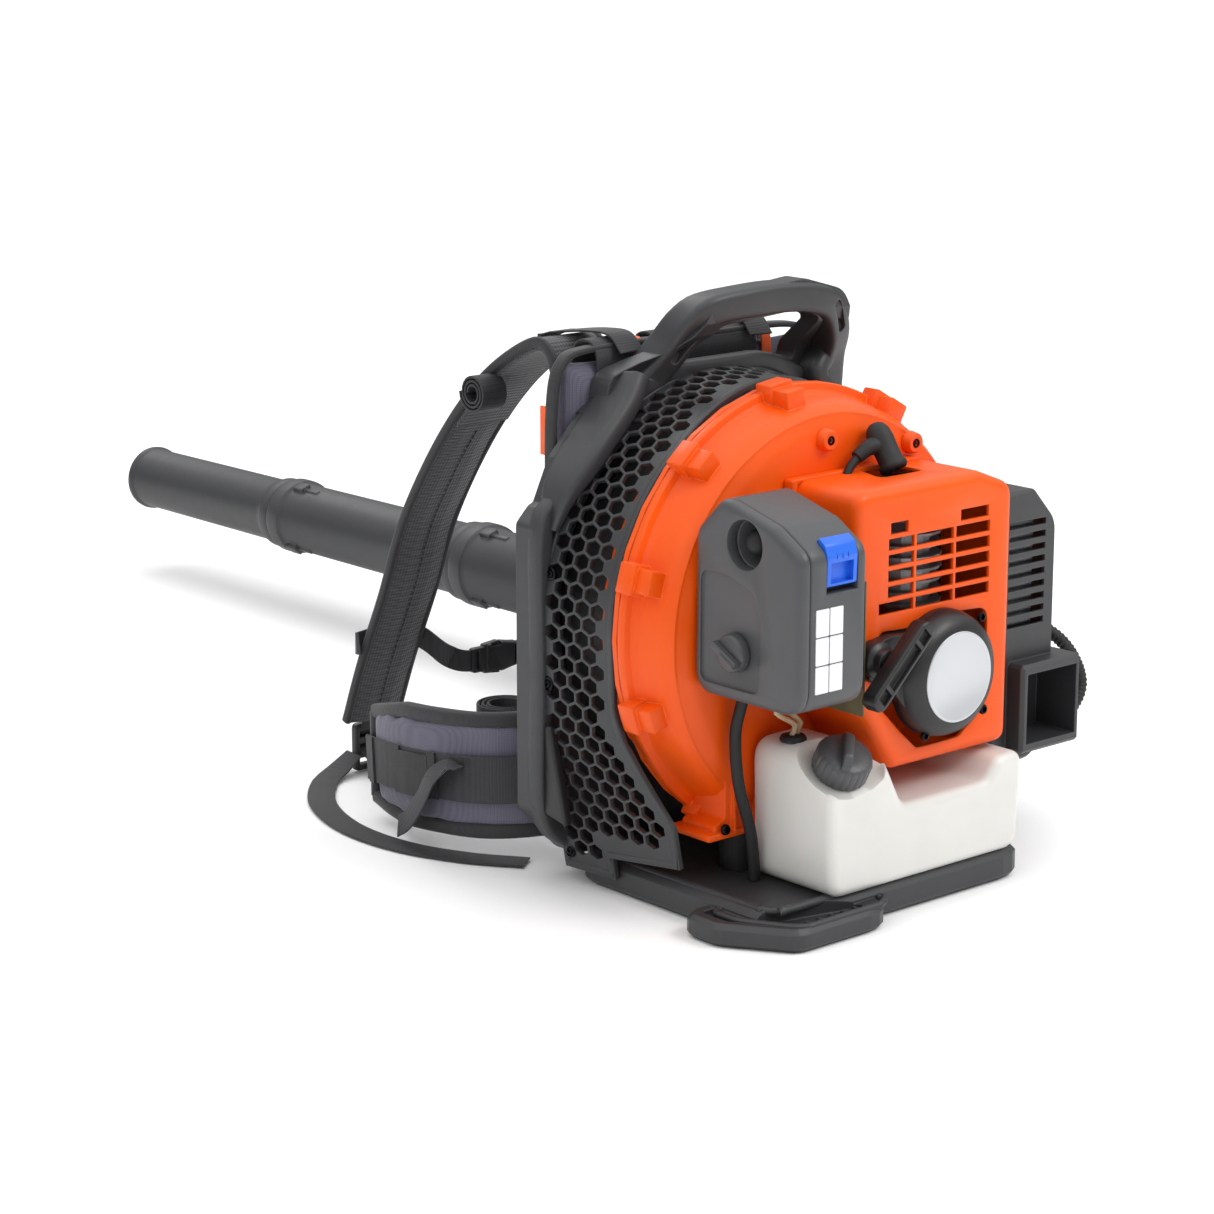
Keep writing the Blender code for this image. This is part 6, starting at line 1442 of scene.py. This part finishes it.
# %% [markdown]
# ## Chest strap
# A 20 mm tape joins the shoulder straps through a side-release buckle: a flat socket with two
# side windows, and a plug with sprung prongs that show in them.

# %% Chest tape and buckle
chest = smooth_route([(-0.1215, 0.3640, 0.132), (-0.1190, 0.3720, 0.131), (-0.086, 0.3770, 0.131),
                      (-0.0560, 0.3660, 0.129), (-0.045, 0.336, 0.114), (-0.022, 0.330, 0.106),
                      (0.020, 0.330, 0.106),
                      (0.045, 0.322, 0.112), (0.054, 0.302, 0.128)], 0.004)
tape_shape = run_along(chest, flat_section(0.020, 0.0016), (0, 0, 1))
run_along([p + Vector((0, -0.0026, 0)) for p in chest[19:30]], flat_section(0.0205, 0.0018), (0, 0, 1),
          tape_shape)
fit(stand("chest_strap_tape", tape_shape, tape, 60), "machine", "webbing", "chest_strap")
socket = rounded(stand("chest_buckle_socket", slab(outline(
    (-0.006, 0.0920, 0.004), (0.014, 0.0920, 0.004), (0.024, 0.0940, 0.004), (0.032, 0.0950, 0.003),
    (0.032, 0.1170, 0.003),
    (0.024, 0.1180, 0.004), (0.014, 0.1200, 0.004), (-0.006, 0.1200, 0.004)), "Y", 0.3245, 0.3350),
    black_nylon), 0.0026, 4, 50)
windows = bmesh.new()
for z in (0.0900, 0.1170):
    block((-0.001, 0.31, z), (0.011, 0.35, z + 0.0050), windows)
block((0.0265, 0.31, 0.0975), (0.0290, 0.35, 0.1145), windows)
carve(socket, stand("tool", windows))
fit(rounded(socket, 0.0006, 2, 60), "machine", "black_nylon")
plug = rounded(stand("chest_buckle_plug", slab(outline(
    (-0.0215, 0.0945, 0.003), (-0.008, 0.0945, 0.001), (-0.008, 0.0925, 0.001), (0.0105, 0.0905, 0.002),
    (0.0085, 0.0965, 0.001),
    (0.0085, 0.1155, 0.001), (0.0105, 0.1215, 0.002), (-0.008, 0.1195, 0.001), (-0.008, 0.1175, 0.001),
    (-0.0215, 0.1175, 0.003)),
    "Y", 0.3265, 0.3330), black_nylon), 0.0012, 3, 50)
carve(plug, stand("tool", block((-0.0180, 0.31, 0.0975), (-0.0145, 0.35, 0.1145))))
fit(rounded(plug, 0.0005, 2, 60), "machine", "black_nylon")

# %% Screws into the scene
fit(stand("torx_screws", screws, zinc_screw, 40), "machine", "steel")

# %% [markdown]
# ## Floor and light
# The machine stands on a seamless pale sweep. One large soft box above and to the right of the
# camera gives the long highlights along the shells, a second on the left fills the harness, and
# a sky that is bright overhead and darker at the sides keeps the shadows open and soft.

# %% Floor
FLOOR_HALF_WIDTH, FLOOR_DROP = 60, 0.0004
floor_mesh = bmesh.new()
bmesh.ops.create_grid(floor_mesh, x_segments=2, y_segments=2, size=FLOOR_HALF_WIDTH)
floor_data = bpy.data.meshes.new("studio_floor")
floor_mesh.to_mesh(floor_data)
floor_mesh.free()
studio_floor = bpy.data.objects.new("studio_floor", floor_data)
bpy.context.collection.objects.link(studio_floor)
studio_floor.location = (0, 0, -FLOOR_DROP)
paper, tree, shader = blank_finish("seamless_paper", {"Roughness": 0.9, "IOR": 1.4})
place = add(tree, "ShaderNodeTexCoord").outputs["Object"]
fibre = add(tree, "ShaderNodeTexNoise", None, {"Vector": place, "Scale": 300.0, "Detail": 2.0})
paper_tone = add(tree, "ShaderNodeMix", {"data_type": "RGBA"},
                 {0: fibre.outputs["Fac"], 6: tint("FDFDFD"), 7: tint("F8F8F8")})
tree.links.new(paper_tone.outputs[2], shader.inputs["Base Color"])
floor_data.materials.append(paper)
print("floor laid")


# %% Light
HORIZON_STRENGTH, ZENITH_STRENGTH = 0.06, 1.72
LAMP_AIM = Vector((0, 0, 0.2))
world = bpy.data.worlds.new("white_studio")
bpy.context.scene.world = world
world.use_nodes = True
sky = world.node_tree
height = add(sky, "ShaderNodeSeparateXYZ", None, {0: add(sky, "ShaderNodeTexCoord").outputs["Generated"]})
ceiling = add(sky, "ShaderNodeMapRange", None,
              {"Value": height.outputs["Z"], "From Min": 0.0, "From Max": 1.0, "To Min": HORIZON_STRENGTH,
               "To Max": ZENITH_STRENGTH})
sky.nodes["Background"].inputs["Color"].default_value = (1, 1, 1, 1)
sky.links.new(ceiling.outputs["Result"], sky.nodes["Background"].inputs["Strength"])
bpy.context.scene.view_settings.view_transform = "Standard"
SOFT_BOXES = (
    ("key_soft_box", (1.1, -2.2, 2.6), (1.6, 1.2), 40),
    ("side_soft_box", (-2.6, -0.6, 1.6), (1.4, 1.4), 5),
    ("rim_soft_box", (0.6, 2.6, 2.4), (1.6, 0.8), 14),
)
for name, spot, (width, depth), power in SOFT_BOXES:
    lamp = bpy.data.lights.new(name, "AREA")
    lamp.shape = "RECTANGLE"
    lamp.size = width
    lamp.size_y = depth
    lamp.energy = power
    holder = bpy.data.objects.new(name, lamp)
    bpy.context.collection.objects.link(holder)
    holder.location = spot
    holder.rotation_euler = (LAMP_AIM - Vector(spot)).to_track_quat("-Z", "Y").to_euler()
    print("light", name)
